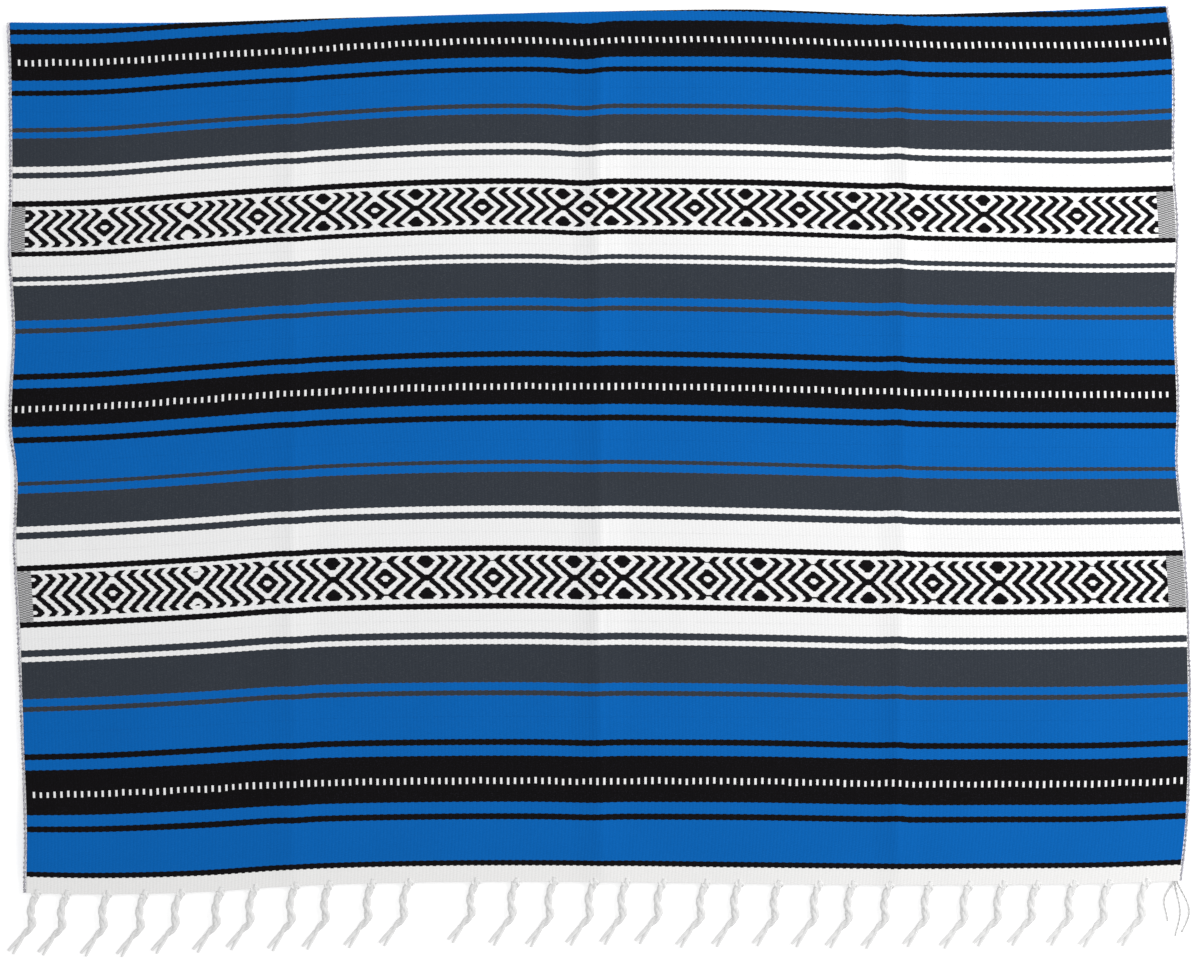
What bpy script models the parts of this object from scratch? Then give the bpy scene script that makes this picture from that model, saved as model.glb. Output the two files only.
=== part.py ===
"""Handwoven cotton serape, folded in half across its length and laid flat on a surface.

The fold is at the far edge (+Y), the hem and its knotted fringe at the near edge (-Y), and the
origin is at the middle of the footprint, on the surface. Metres, +Z up. The one woven web is built
in the three stretches that the fold makes of it: the upper half, the turn of the fold and the
lower half, with its selvedge cords, its white headings and a plain solid for each row of fringe.
"""

import math

import bmesh
import bpy

MM = 0.001

# Cloth
CLOTH_THICKNESS = 2.4 * MM          # weft-faced cotton web
SEAM_GAP = 0.3 * MM                 # between neighbouring pieces
LAYER_GAP = 0.4 * MM                # between the two halves where they lie on each other
SELVEDGE_WIDTH = 4.0 * MM           # doubled warps along each side

# The folded length, measured from the level of the fold
FOLD_LEVEL_Y = 514.2 * MM           # Y of the fold where its edge has no drop
FRONT_WEB_LENGTH = 934.0 * MM       # fold to the white heading, upper half
BACK_WEB_LENGTH = 839.0 * MM        # fold to the white heading, lower half
HEADING_LENGTH = 18.0 * MM          # white heading woven at each end
FRONT_FRINGE_REACH = 69.4 * MM      # heading to the tips of the tassels
BACK_FRINGE_REACH = 66.0 * MM

# The turn of the fold: a round nose that the thick web keeps
FOLD_INNER_RADIUS = 0.9 * MM
FOLD_OUTER_RADIUS = FOLD_INNER_RADIUS + CLOTH_THICKNESS
FOLD_SETTLE_LENGTH = 16.0 * MM      # how soon the upper half settles onto the lower one
FOLD_ARC_STEPS = 8

# Fringe solids
FRONT_FRINGE_HEIGHT_AT_HEM = 8.0 * MM
FRONT_FRINGE_HEIGHT_AT_TIP = 6.5 * MM
BACK_FRINGE_HEIGHT = 3.8 * MM       # flattened under the upper half
RISE_OVER_FRINGE = 3.4 * MM         # how far the upper half rises over the hidden tassels
RISE_HALF_LENGTH = 80.0 * MM
FRINGE_SWEEP = 16.0 * MM            # the tassels lie swept this far towards -X
FRONT_FRINGE_RIGHT_X = 640.0 * MM   # reach of the one loose tassel at the +X corner

# Plan of the upper half. Depth is the distance from the fold, x_left and x_right the outer edges
# of the selvedges of the upper half, under_left and under_right those of the lower half.
EDGE_COLUMNS = ("depth", "x_left", "x_right", "under_left", "under_right")
EDGE_TABLE_MM = (
    (0.0, -646.5, 622.0, -646.5, 622.0),
    (40.0, -645.0, 628.5, -642.0, 625.0),
    (160.0, -644.0, 629.0, -640.0, 624.0),
    (230.0, -645.5, 633.0, -640.0, 625.0),
    (320.0, -641.0, 630.5, -637.0, 626.0),
    (420.0, -645.0, 634.0, -638.0, 627.0),
    (480.0, -638.5, 632.5, -634.0, 627.0),
    (560.0, -640.0, 639.0, -633.0, 630.0),
    (640.0, -636.0, 644.0, -630.0, 634.0),
    (790.0, -631.0, 646.5, -626.0, 637.0),
    (880.0, -627.5, 643.0, -623.0, 636.0),
    (952.0, -629.0, 636.0, -624.0, 630.0),
)

# How far each line across the cloth dips towards the hem, at eleven stations across the width.
# The weft does not lie straight, and the fold was not made quite along it.
BOW_COLUMNS = ("x", "fold", "black_1", "figured_1", "black_2", "figured_2", "black_3", "heading")
BOW_DEPTHS_MM = (0.0, 32.0, 213.0, 410.0, 619.0, 839.0, 934.0)
BOW_TABLE_MM = (
    (-646.5, 13.0, 26.0, 26.0, 25.5, 21.0, 15.0, 10.0),
    (-545.0, 13.5, 25.0, 23.5, 22.0, 16.5, 13.5, 12.0),
    (-435.0, 13.0, 18.0, 15.5, 14.5, 10.5, 8.5, 9.5),
    (-325.0, 9.5, 11.5, 8.5, 7.0, 3.0, 2.5, 2.5),
    (-165.0, 5.0, 2.5, 1.5, 1.0, -1.0, -0.5, -1.5),
    (0.0, 1.0, 0.5, 1.0, -0.5, -1.0, -0.5, -1.5),
    (165.0, -1.0, 0.5, 2.5, 2.0, 1.5, 0.0, 0.5),
    (330.0, 4.0, 5.5, 7.5, 6.5, 5.0, 3.0, 2.0),
    (440.0, 2.0, 6.5, 9.5, 8.5, 5.5, 3.0, 1.5),
    (545.0, -2.0, 6.0, 11.0, 9.0, 4.5, 2.5, 0.5),
    (646.5, -6.0, 0.5, 9.5, 9.0, 3.0, -1.0, -3.0),
)

# Storage creases of the upper half, soft ridges that run from the fold to the hem.
CREASE_COLUMNS = ("name", "x_at_fold", "x_at_hem", "height", "half_width")
CREASE_TABLE_MM = (
    ("left", -331.0, -334.0, 1.8, 30.0),
    ("middle", 1.0, 2.0, 3.2, 34.0),
    ("right", 339.0, 325.0, 2.4, 30.0),
)

# Broad swells of the upper half, where it does not lie quite flat.
SWELL_COLUMNS = ("x", "depth", "half_length_x", "half_length_y", "height")
SWELL_TABLE_MM = (
    (-520.0, 120.0, 120.0, 110.0, 2.0),
    (-180.0, 330.0, 110.0, 180.0, 1.2),
    (170.0, 520.0, 120.0, 220.0, 1.4),
    (520.0, 260.0, 100.0, 160.0, 1.6),
    (-430.0, 690.0, 130.0, 140.0, 1.5),
    (500.0, 740.0, 110.0, 120.0, 1.3),
)

# Stations where the cloth is faceted
ROW_DEPTHS_MM = (60.0, 120.0, 215.0, 320.0, 420.0, 520.0, 620.0, 730.0, 800.0, 838.0, 862.0, 900.0)
CREASE_STEPS = (-1.0, -0.45, 0.0, 0.45, 1.0)     # columns at each crease, in half widths
BROAD_COLUMNS_MM = (-590.0, -520.0, -445.0, -385.0, -245.0, -165.0, -90.0, 85.0, 165.0, 245.0,
                    415.0, 480.0, 550.0, 600.0)


def smooth_between(position, stations, values):
    """Value at a position on a smooth curve through the stations of a table."""
    if position <= stations[0]:
        return values[0]
    if position >= stations[-1]:
        return values[-1]
    index = max(i for i, station in enumerate(stations) if station <= position)
    slopes = []
    for i in (index, index + 1):
        low, high = max(i - 1, 0), min(i + 1, len(stations) - 1)
        slopes.append((values[high] - values[low]) / (stations[high] - stations[low]))
    span = stations[index + 1] - stations[index]
    t = (position - stations[index]) / span
    start = (1.0 + 2.0 * t) * (1.0 - t) ** 2
    end = t * t * (3.0 - 2.0 * t)
    leave = t * (1.0 - t) ** 2 * span
    arrive = t * t * (t - 1.0) * span
    return start * values[index] + end * values[index + 1] + leave * slopes[0] + arrive * slopes[1]


def bump(distance):
    """Soft bell of height one that reaches nothing at a distance of one."""
    if abs(distance) >= 1.0:
        return 0.0
    return 0.5 + 0.5 * math.cos(math.pi * distance)


def past_turn(depth):
    """Depth counted from the end of the fold's turn, which itself keeps one outline."""
    return max(depth - FOLD_OUTER_RADIUS - SEAM_GAP, 0.0)


def edge_x(column, depth):
    """Outer edge of one selvedge at a depth, from a named column of the edge table."""
    place = EDGE_COLUMNS.index(column)
    depths = [row[0] * MM for row in EDGE_TABLE_MM]
    return smooth_between(past_turn(depth), depths, [row[place] * MM for row in EDGE_TABLE_MM])


def bow(x, depth):
    """How far the upper half's line across the cloth has dropped towards the hem at x."""
    stations = [row[0] * MM for row in BOW_TABLE_MM]
    depths = [value * MM for value in BOW_DEPTHS_MM]
    across = [smooth_between(x, stations, [row[i + 1] * MM for row in BOW_TABLE_MM])
              for i in range(len(depths))]
    return smooth_between(past_turn(depth), depths, across)


def under_bow(x, depth):
    """The same for the lower half, which straightens out from the fold to its own hem."""
    return bow(x, 0.0) * (1.0 - 0.6 * depth / BACK_WEB_LENGTH)


def crease_x(row, depth):
    """X of a crease's crest at a depth."""
    x_at_fold, x_at_hem = row[1] * MM, row[2] * MM
    return x_at_fold + (x_at_hem - x_at_fold) * min(depth / FRONT_WEB_LENGTH, 1.0)


def relief(x, depth):
    """Lift of the upper half off its bed: the creases and the broad swells."""
    lift = 0.0
    for row in CREASE_TABLE_MM:
        lift += row[3] * MM * bump((x - crease_x(row, depth)) / (row[4] * MM))
    for centre_x, centre_depth, half_x, half_y, height in SWELL_TABLE_MM:
        along_x = bump((x / MM - centre_x) / half_x)
        along_y = bump((depth / MM - centre_depth) / half_y)
        lift += height * MM * along_x * along_y
    clear_of_fold = min(depth / (50.0 * MM), 1.0)
    clear_of_hem = min((FRONT_WEB_LENGTH + HEADING_LENGTH - depth) / (60.0 * MM) + 0.35, 1.0)
    return lift * clear_of_fold * clear_of_hem


def bed_height(depth):
    """Underside of the upper half before its relief: the nose, the lower half and its fringe."""
    flat = CLOTH_THICKNESS + LAYER_GAP
    nose = CLOTH_THICKNESS + 2.0 * FOLD_INNER_RADIUS
    past_nose = max(depth - FOLD_OUTER_RADIUS, 0.0)
    height = flat + (nose - flat) * math.exp(-past_nose / FOLD_SETTLE_LENGTH)
    fringe_start = BACK_WEB_LENGTH + HEADING_LENGTH
    fringe_middle = fringe_start + 0.5 * BACK_FRINGE_REACH
    return height + RISE_OVER_FRINGE * bump((depth - fringe_middle) / RISE_HALF_LENGTH)


def upper_point(x, depth, outside):
    """A point of the upper half, on its outer or its inner face."""
    z = bed_height(depth) + relief(x, depth)
    if outside:
        z += CLOTH_THICKNESS
    return (x, FOLD_LEVEL_Y - bow(x, depth) - depth, z)


def fold_point(x, angle, outside):
    """A point of the turn: the angle runs from the upper half, 0, to the lower half, pi."""
    radius = FOLD_OUTER_RADIUS if outside else FOLD_INNER_RADIUS
    depth = FOLD_OUTER_RADIUS - radius * math.sin(angle)
    z = FOLD_OUTER_RADIUS + radius * math.cos(angle)
    return (x, FOLD_LEVEL_Y - bow(x, 0.0) - depth, z)


def lower_point(x, depth, outside):
    """A point of the lower half, whose outer face rests on the surface."""
    z = 0.0 if outside else CLOTH_THICKNESS
    return (x, FOLD_LEVEL_Y - under_bow(x, depth) - depth, z)


def across_columns():
    """Stations across the width, as fractions of it: close at the creases, wide between them."""
    left, right = edge_x("x_left", 0.4), edge_x("x_right", 0.4)
    places = [value * MM for value in BROAD_COLUMNS_MM]
    for row in CREASE_TABLE_MM:
        places += [crease_x(row, 0.4) + step * row[4] * MM for step in CREASE_STEPS]
    inner = sorted((place - left) / (right - left) for place in places)
    return [0.0] + inner + [1.0]


def upper_x(fraction, depth):
    """X at a fraction of the web's width in the upper half, inside the selvedges."""
    inset = SELVEDGE_WIDTH + SEAM_GAP
    left, right = edge_x("x_left", depth) + inset, edge_x("x_right", depth) - inset
    return left + (right - left) * fraction


def lower_x(fraction, depth):
    """The same in the lower half."""
    inset = SELVEDGE_WIDTH + SEAM_GAP
    left, right = edge_x("under_left", depth) + inset, edge_x("under_right", depth) - inset
    return left + (right - left) * fraction


def material(name, colour, roughness):
    """A Principled material for one sub-part."""
    finish = bpy.data.materials.new(name)
    finish.use_nodes = True
    shader = finish.node_tree.nodes["Principled BSDF"]
    shader.inputs["Base Color"].default_value = (*colour, 1.0)
    shader.inputs["Roughness"].default_value = roughness
    shader.inputs["Metallic"].default_value = 0.0
    return finish


def add_object(name, mesh_data, finish):
    """Link a mesh to the scene as a named object with its material, faces pointing out."""
    shape = bmesh.new()
    shape.from_mesh(mesh_data)
    bmesh.ops.recalc_face_normals(shape, faces=shape.faces)
    shape.to_mesh(mesh_data)
    shape.free()
    mesh_data.materials.append(finish)
    part = bpy.data.objects.new(name, mesh_data)
    bpy.context.scene.collection.objects.link(part)
    return part


def wall(name, outer, inner, finish):
    """A closed wall between two grids of points, row by row, joined around their borders."""
    rows, columns = len(outer), len(outer[0])
    points = [point for row in outer for point in row]
    points += [point for row in inner for point in row]
    under = rows * columns
    faces = []
    for i in range(rows - 1):
        for j in range(columns - 1):
            a, b = i * columns + j, i * columns + j + 1
            c, d = (i + 1) * columns + j + 1, (i + 1) * columns + j
            faces.append((a, b, c, d))
            faces.append((under + d, under + c, under + b, under + a))
    border = [j for j in range(columns)]
    border += [i * columns + columns - 1 for i in range(1, rows)]
    border += [(rows - 1) * columns + j for j in range(columns - 2, -1, -1)]
    border += [i * columns for i in range(rows - 2, 0, -1)]
    for start, end in zip(border, border[1:] + border[:1]):
        faces.append((end, start, under + start, under + end))
    shape = bpy.data.meshes.new(name)
    shape.from_pydata(points, [], faces)
    return add_object(name, shape, finish)


def tube(name, rings, finish):
    """A closed bar through rings of points, with a flat face at each end."""
    sides = len(rings[0])
    points = [point for ring in rings for point in ring]
    faces = [tuple(range(sides))]
    last = (len(rings) - 1) * sides
    faces.append(tuple(last + i for i in reversed(range(sides))))
    for k in range(len(rings) - 1):
        for i in range(sides):
            j = (i + 1) % sides
            a, b = k * sides + i, k * sides + j
            faces.append((a, a + sides, b + sides, b))
    shape = bpy.data.meshes.new(name)
    shape.from_pydata(points, [], faces)
    return add_object(name, shape, finish)


def build_upper_web(finish):
    """The upper half of the web, from the turn of the fold to the heading."""
    fractions = across_columns()
    depths = [FOLD_OUTER_RADIUS + SEAM_GAP, 14.0 * MM]
    depths += [value * MM for value in ROW_DEPTHS_MM] + [FRONT_WEB_LENGTH]
    faces = []
    for outside in (True, False):
        faces.append([[upper_point(upper_x(f, d), d, outside) for f in fractions] for d in depths])
    return wall("web_upper_half", faces[0], faces[1], finish)


def build_fold(finish):
    """The turn of the web, a half round along the far edge."""
    fractions = across_columns()
    angles = [math.pi * step / FOLD_ARC_STEPS for step in range(FOLD_ARC_STEPS + 1)]
    faces = []
    for outside in (True, False):
        faces.append([[fold_point(upper_x(f, 0.0), a, outside) for f in fractions] for a in angles])
    return wall("web_fold", faces[0], faces[1], finish)


def build_lower_web(finish):
    """The lower half of the web, flat on the surface."""
    fractions = across_columns()
    depths = [FOLD_OUTER_RADIUS + SEAM_GAP, 60.0 * MM, 160.0 * MM, 320.0 * MM, 480.0 * MM]
    depths += [640.0 * MM, BACK_WEB_LENGTH]
    faces = []
    for outside in (True, False):
        faces.append([[lower_point(lower_x(f, d), d, outside) for f in fractions] for d in depths])
    return wall("web_lower_half", faces[0], faces[1], finish)


def build_heading(name, start, place_x, place_point, finish):
    """A white heading at the end of one half, in line with its web."""
    fractions = across_columns()
    depths = [start + SEAM_GAP, start + HEADING_LENGTH]
    faces = []
    for outside in (True, False):
        faces.append([[place_point(place_x(f, d), d, outside) for f in fractions] for d in depths])
    return wall(name, faces[0], faces[1], finish)


def selvedge_ring(outer_x, inner_x, place_point, station):
    """A flattened cord section: flat on the web's side, rounded to the outside."""
    shoulder = outer_x + 0.3 * (inner_x - outer_x)
    ring = [place_point(inner_x, station, True), place_point(shoulder, station, True)]
    over = place_point(outer_x, station, True)
    under = place_point(outer_x, station, False)
    ring.append(tuple(0.5 * (a + b) for a, b in zip(over, under)))
    ring += [place_point(shoulder, station, False), place_point(inner_x, station, False)]
    return ring


def build_selvedge(side, finish):
    """One side's doubled warps, from the upper hem over the fold to the lower hem."""
    inward = 1.0 if side == "left" else -1.0
    width = inward * SELVEDGE_WIDTH
    upper = [FRONT_WEB_LENGTH + HEADING_LENGTH, FRONT_WEB_LENGTH]
    upper += [value * MM for value in reversed(ROW_DEPTHS_MM)] + [14.0 * MM]
    lower = [60.0 * MM, 160.0 * MM, 320.0 * MM, 480.0 * MM, 640.0 * MM, BACK_WEB_LENGTH]
    lower.append(BACK_WEB_LENGTH + HEADING_LENGTH)
    rings = []
    for depth in upper:
        outer_x = edge_x("x_" + side, depth)
        rings.append(selvedge_ring(outer_x, outer_x + width, upper_point, depth))
    for step in range(FOLD_ARC_STEPS + 1):
        outer_x = edge_x("x_" + side, 0.0)
        angle = math.pi * step / FOLD_ARC_STEPS
        rings.append(selvedge_ring(outer_x, outer_x + width, fold_point, angle))
    for depth in lower:
        outer_x = edge_x("under_" + side, depth)
        rings.append(selvedge_ring(outer_x, outer_x + width, lower_point, depth))
    return tube("selvedge_" + side, rings, finish)


def fringe_slab(name, hem, tips, heights, finish):
    """A low slab on the surface from the points along a hem to the points at the tassels' tips."""
    top, bottom = [], []
    for line, height in zip((hem, tips), heights):
        top.append([(x, y, height) for x, y in line])
        bottom.append([(x, y, 0.0) for x, y in line])
    return wall(name, top, bottom, finish)


def build_upper_fringe(finish):
    """The reach of the tassels that show, from the hem to their tips."""
    depth = FRONT_WEB_LENGTH + HEADING_LENGTH
    left, right = edge_x("x_left", depth), edge_x("x_right", depth)
    reach_left, reach_right = left - FRINGE_SWEEP, FRONT_FRINGE_RIGHT_X
    places = [left] + [upper_x(f, depth) for f in across_columns()] + [right]
    start = FOLD_LEVEL_Y - depth - SEAM_GAP
    hem = [(x, start - bow(x, depth)) for x in places]
    tips = []
    for x in places:
        tip_x = reach_left + (reach_right - reach_left) * (x - left) / (right - left)
        tips.append((tip_x, start - FRONT_FRINGE_REACH - bow(tip_x, depth)))
    heights = (FRONT_FRINGE_HEIGHT_AT_HEM, FRONT_FRINGE_HEIGHT_AT_TIP)
    return fringe_slab("fringe_upper", hem, tips, heights, finish)


def build_lower_fringe(finish):
    """The reach of the hidden tassels, flattened under the upper half."""
    depth = BACK_WEB_LENGTH + HEADING_LENGTH
    left, right = edge_x("under_left", depth), edge_x("under_right", depth)
    places = [left] + [lower_x(f, depth) for f in across_columns()] + [right]
    start = FOLD_LEVEL_Y - depth - SEAM_GAP
    hem = [(x, start - under_bow(x, depth)) for x in places]
    sweep = 0.5 * FRINGE_SWEEP
    tips = [(x - sweep, y - BACK_FRINGE_REACH) for x, y in hem]
    return fringe_slab("fringe_lower", hem, tips, (BACK_FRINGE_HEIGHT, BACK_FRINGE_HEIGHT), finish)


def build_serape():
    """Model every piece of the folded serape."""
    blue = material("woven_cotton_upper", (0.004, 0.13, 0.46), 0.9)
    deep_blue = material("woven_cotton_lower", (0.003, 0.09, 0.33), 0.9)
    black = material("woven_cotton_fold", (0.008, 0.008, 0.009), 0.9)
    white = material("white_heading_cotton", (0.78, 0.78, 0.78), 0.88)
    white_under = material("white_heading_cotton_under", (0.7, 0.7, 0.7), 0.88)
    cord_left = material("selvedge_cotton_left", (0.5, 0.5, 0.56), 0.9)
    cord_right = material("selvedge_cotton_right", (0.52, 0.52, 0.58), 0.9)
    tassel = material("fringe_cotton_upper", (0.72, 0.72, 0.72), 0.88)
    tassel_under = material("fringe_cotton_lower", (0.66, 0.66, 0.66), 0.88)
    build_upper_web(blue)
    build_fold(black)
    build_lower_web(deep_blue)
    build_heading("heading_upper", FRONT_WEB_LENGTH, upper_x, upper_point, white)
    build_heading("heading_lower", BACK_WEB_LENGTH, lower_x, lower_point, white_under)
    build_selvedge("left", cord_left)
    build_selvedge("right", cord_right)
    build_upper_fringe(tassel)
    build_lower_fringe(tassel_under)


for leftover in list(bpy.data.objects):
    bpy.data.objects.remove(leftover, do_unlink=True)

build_serape()
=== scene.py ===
"""Visual model of a handwoven cotton serape, folded in half across its length and laid flat.

The web is one sheet that runs from the upper hem, over the turn of the fold, to the lower hem. Its
pieces are cut from that one sheet along the weft, so the stripes, the rows of dashes and the figured
bands pass from piece to piece. Sizes are millimetres until the meshes are written in metres.
"""
import logging  # noqa: E402
import math  # noqa: E402
import random  # noqa: E402
from dataclasses import dataclass, field  # noqa: E402
from enum import Enum  # noqa: E402

import bpy  # noqa: E402
import numpy as np  # noqa: E402
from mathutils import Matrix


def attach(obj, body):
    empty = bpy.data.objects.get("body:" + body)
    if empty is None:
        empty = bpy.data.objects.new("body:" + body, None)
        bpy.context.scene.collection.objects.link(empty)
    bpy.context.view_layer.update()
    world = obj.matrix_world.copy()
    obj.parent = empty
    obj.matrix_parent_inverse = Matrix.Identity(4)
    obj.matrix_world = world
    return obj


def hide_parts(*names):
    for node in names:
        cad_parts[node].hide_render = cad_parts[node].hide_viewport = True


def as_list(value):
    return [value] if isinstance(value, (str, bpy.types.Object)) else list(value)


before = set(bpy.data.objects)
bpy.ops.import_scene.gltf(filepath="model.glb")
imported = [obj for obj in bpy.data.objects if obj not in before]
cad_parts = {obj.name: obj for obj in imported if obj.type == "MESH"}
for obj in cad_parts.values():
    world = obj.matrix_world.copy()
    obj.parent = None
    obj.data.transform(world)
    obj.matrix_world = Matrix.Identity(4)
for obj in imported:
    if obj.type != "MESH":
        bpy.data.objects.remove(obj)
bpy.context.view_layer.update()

LOG = logging.getLogger("serape")
MM = 0.001
SEED = 23


class Yarn(Enum):
    """Yarns of the web, in the order of their numbers in the weave."""

    BLACK = 0
    BLUE = 1
    GREY = 2
    WHITE = 3
    HEATHER = 4
    HEADING = 5


# ---------------------------------------------------------------------------------------------
# Form of the folded cloth
# ---------------------------------------------------------------------------------------------

# Outer edges of the selvedges: depth from the fold, upper left and right, lower left and right.
EDGE_TABLE = (
    (0.0, -646.5, 622.0, -646.5, 622.0),
    (40.0, -645.0, 628.5, -642.0, 625.0),
    (160.0, -644.0, 629.0, -640.0, 624.0),
    (230.0, -645.5, 633.0, -640.0, 625.0),
    (320.0, -641.0, 630.5, -637.0, 626.0),
    (420.0, -645.0, 634.0, -638.0, 627.0),
    (480.0, -638.5, 632.5, -634.0, 627.0),
    (560.0, -640.0, 639.0, -633.0, 630.0),
    (640.0, -636.0, 644.0, -630.0, 634.0),
    (790.0, -631.0, 646.5, -626.0, 637.0),
    (880.0, -627.5, 643.0, -623.0, 636.0),
    (952.0, -629.0, 636.0, -624.0, 630.0),
)
EDGE_COLUMN = {"x_left": 1, "x_right": 2, "under_left": 3, "under_right": 4}

# How far the weft dips towards the hem, at stations across the width and at seven depths.
BOW_DEPTHS = (0.0, 32.0, 213.0, 410.0, 619.0, 839.0, 934.0)
BOW_TABLE = (
    (-646.5, 13.0, 26.0, 26.0, 25.5, 21.0, 15.0, 10.0),
    (-545.0, 13.5, 25.0, 23.5, 22.0, 16.5, 13.5, 12.0),
    (-435.0, 13.0, 18.0, 15.5, 14.5, 10.5, 8.5, 9.5),
    (-325.0, 9.5, 11.5, 8.5, 7.0, 3.0, 2.5, 2.5),
    (-165.0, 5.0, 2.5, 1.5, 1.0, -1.0, -0.5, -1.5),
    (0.0, 1.0, 0.5, 1.0, -0.5, -1.0, -0.5, -1.5),
    (165.0, -1.0, 0.5, 2.5, 2.0, 1.5, 0.0, 0.5),
    (330.0, 4.0, 5.5, 7.5, 6.5, 5.0, 3.0, 2.0),
    (440.0, 2.0, 6.5, 9.5, 8.5, 5.5, 3.0, 1.5),
    (545.0, -2.0, 6.0, 11.0, 9.0, 4.5, 2.5, 0.5),
    (646.5, -6.0, 0.5, 9.5, 9.0, 3.0, -1.0, -3.0),
)

# Storage creases: x at the fold, x at the hem, height, half width, height of the sharper crest,
# half widths of the crest's left and right flanks.
CREASES = (
    (-331.0, -334.0, 1.8, 30.0, 0.7, 12.0, 7.0),
    (1.0, 2.0, 3.2, 34.0, 1.4, 15.0, 8.0),
    (339.0, 325.0, 2.4, 30.0, 0.9, 13.0, 7.0),
)

# Broad swells of the upper half: x, depth, half length along x and along y, height.
SWELLS = (
    (-520.0, 120.0, 120.0, 110.0, 2.0),
    (-180.0, 330.0, 110.0, 180.0, 1.2),
    (170.0, 520.0, 120.0, 220.0, 1.4),
    (520.0, 260.0, 100.0, 160.0, 1.6),
    (-430.0, 690.0, 130.0, 140.0, 1.5),
    (500.0, 740.0, 110.0, 120.0, 1.3),
)

# Soft wrinkles, placed one by one: x, depth, direction in degrees, length, half width, height.
WRINKLES = (
    (-560.0, 60.0, 12.0, 150.0, 16.0, 0.45),
    (-470.0, 205.0, -8.0, 190.0, 20.0, -0.40),
    (-250.0, 120.0, 80.0, 160.0, 18.0, 0.35),
    (-120.0, 250.0, 86.0, 200.0, 16.0, -0.30),
    (-70.0, 470.0, 93.0, 240.0, 18.0, 0.35),
    (-420.0, 430.0, 15.0, 170.0, 22.0, 0.40),
    (-570.0, 560.0, 70.0, 140.0, 18.0, -0.35),
    (-520.0, 800.0, -12.0, 180.0, 20.0, 0.45),
    (-210.0, 640.0, 88.0, 260.0, 17.0, -0.30),
    (-240.0, 850.0, 10.0, 150.0, 16.0, 0.35),
    (90.0, 90.0, 84.0, 160.0, 15.0, -0.35),
    (140.0, 300.0, 94.0, 210.0, 18.0, 0.35),
    (230.0, 420.0, 80.0, 180.0, 16.0, -0.30),
    (95.0, 720.0, 90.0, 240.0, 17.0, 0.35),
    (220.0, 860.0, -9.0, 150.0, 18.0, 0.35),
    (420.0, 70.0, 14.0, 160.0, 17.0, 0.40),
    (450.0, 190.0, 78.0, 170.0, 16.0, -0.40),
    (570.0, 380.0, 96.0, 190.0, 18.0, 0.40),
    (410.0, 540.0, 12.0, 180.0, 20.0, -0.35),
    (560.0, 640.0, -15.0, 150.0, 18.0, 0.40),
    (400.0, 830.0, 84.0, 150.0, 16.0, 0.35),
    (590.0, 880.0, 60.0, 110.0, 16.0, -0.35),
)

# Short dips of the weft where the cloth was folded before: x, left and right half widths, amount
# near the fold, amount from the middle of the length on.
WEFT_DIPS = (
    (-14.0, 46.0, 28.0, 3.2, 0.8),
    (326.0, 22.0, 12.0, -1.6, -1.2),
    (-330.0, 20.0, 20.0, 1.0, 0.6),
)


def hermite_weights(stations: np.ndarray, positions: np.ndarray) -> np.ndarray:
    """Weights of a table's rows on a smooth curve through them.

    Args:
        stations: Rising positions of the rows.
        positions: Where the curve is read, of any shape.

    Returns:
        Weights with one more axis than the positions, one entry for each row.
    """
    count = len(stations)
    place = np.clip(positions, stations[0], stations[-1])
    index = np.clip(np.searchsorted(stations, place, side="right") - 1, 0, count - 2)
    span = stations[index + 1] - stations[index]
    t = (place - stations[index]) / span
    weights = np.zeros(place.shape + (count,))
    flat = weights.reshape(-1, count)
    rows = np.arange(flat.shape[0])
    index, span, t = index.ravel(), span.ravel(), t.ravel()
    flat[rows, index] += (1.0 + 2.0 * t) * (1.0 - t) ** 2
    flat[rows, index + 1] += t * t * (3.0 - 2.0 * t)
    shares = ((index, t * (1.0 - t) ** 2 * span), (index + 1, t * t * (t - 1.0) * span))
    for knot, share in shares:
        low, high = np.maximum(knot - 1, 0), np.minimum(knot + 1, count - 1)
        gap = stations[high] - stations[low]
        np.add.at(flat, (rows, high), share / gap)
        np.add.at(flat, (rows, low), -share / gap)
    return weights


def bell(distance: np.ndarray) -> np.ndarray:
    """Soft bell of height one that reaches nothing at a distance of one."""
    return np.where(np.abs(distance) < 1.0, 0.5 + 0.5 * np.cos(np.pi * distance), 0.0)


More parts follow.
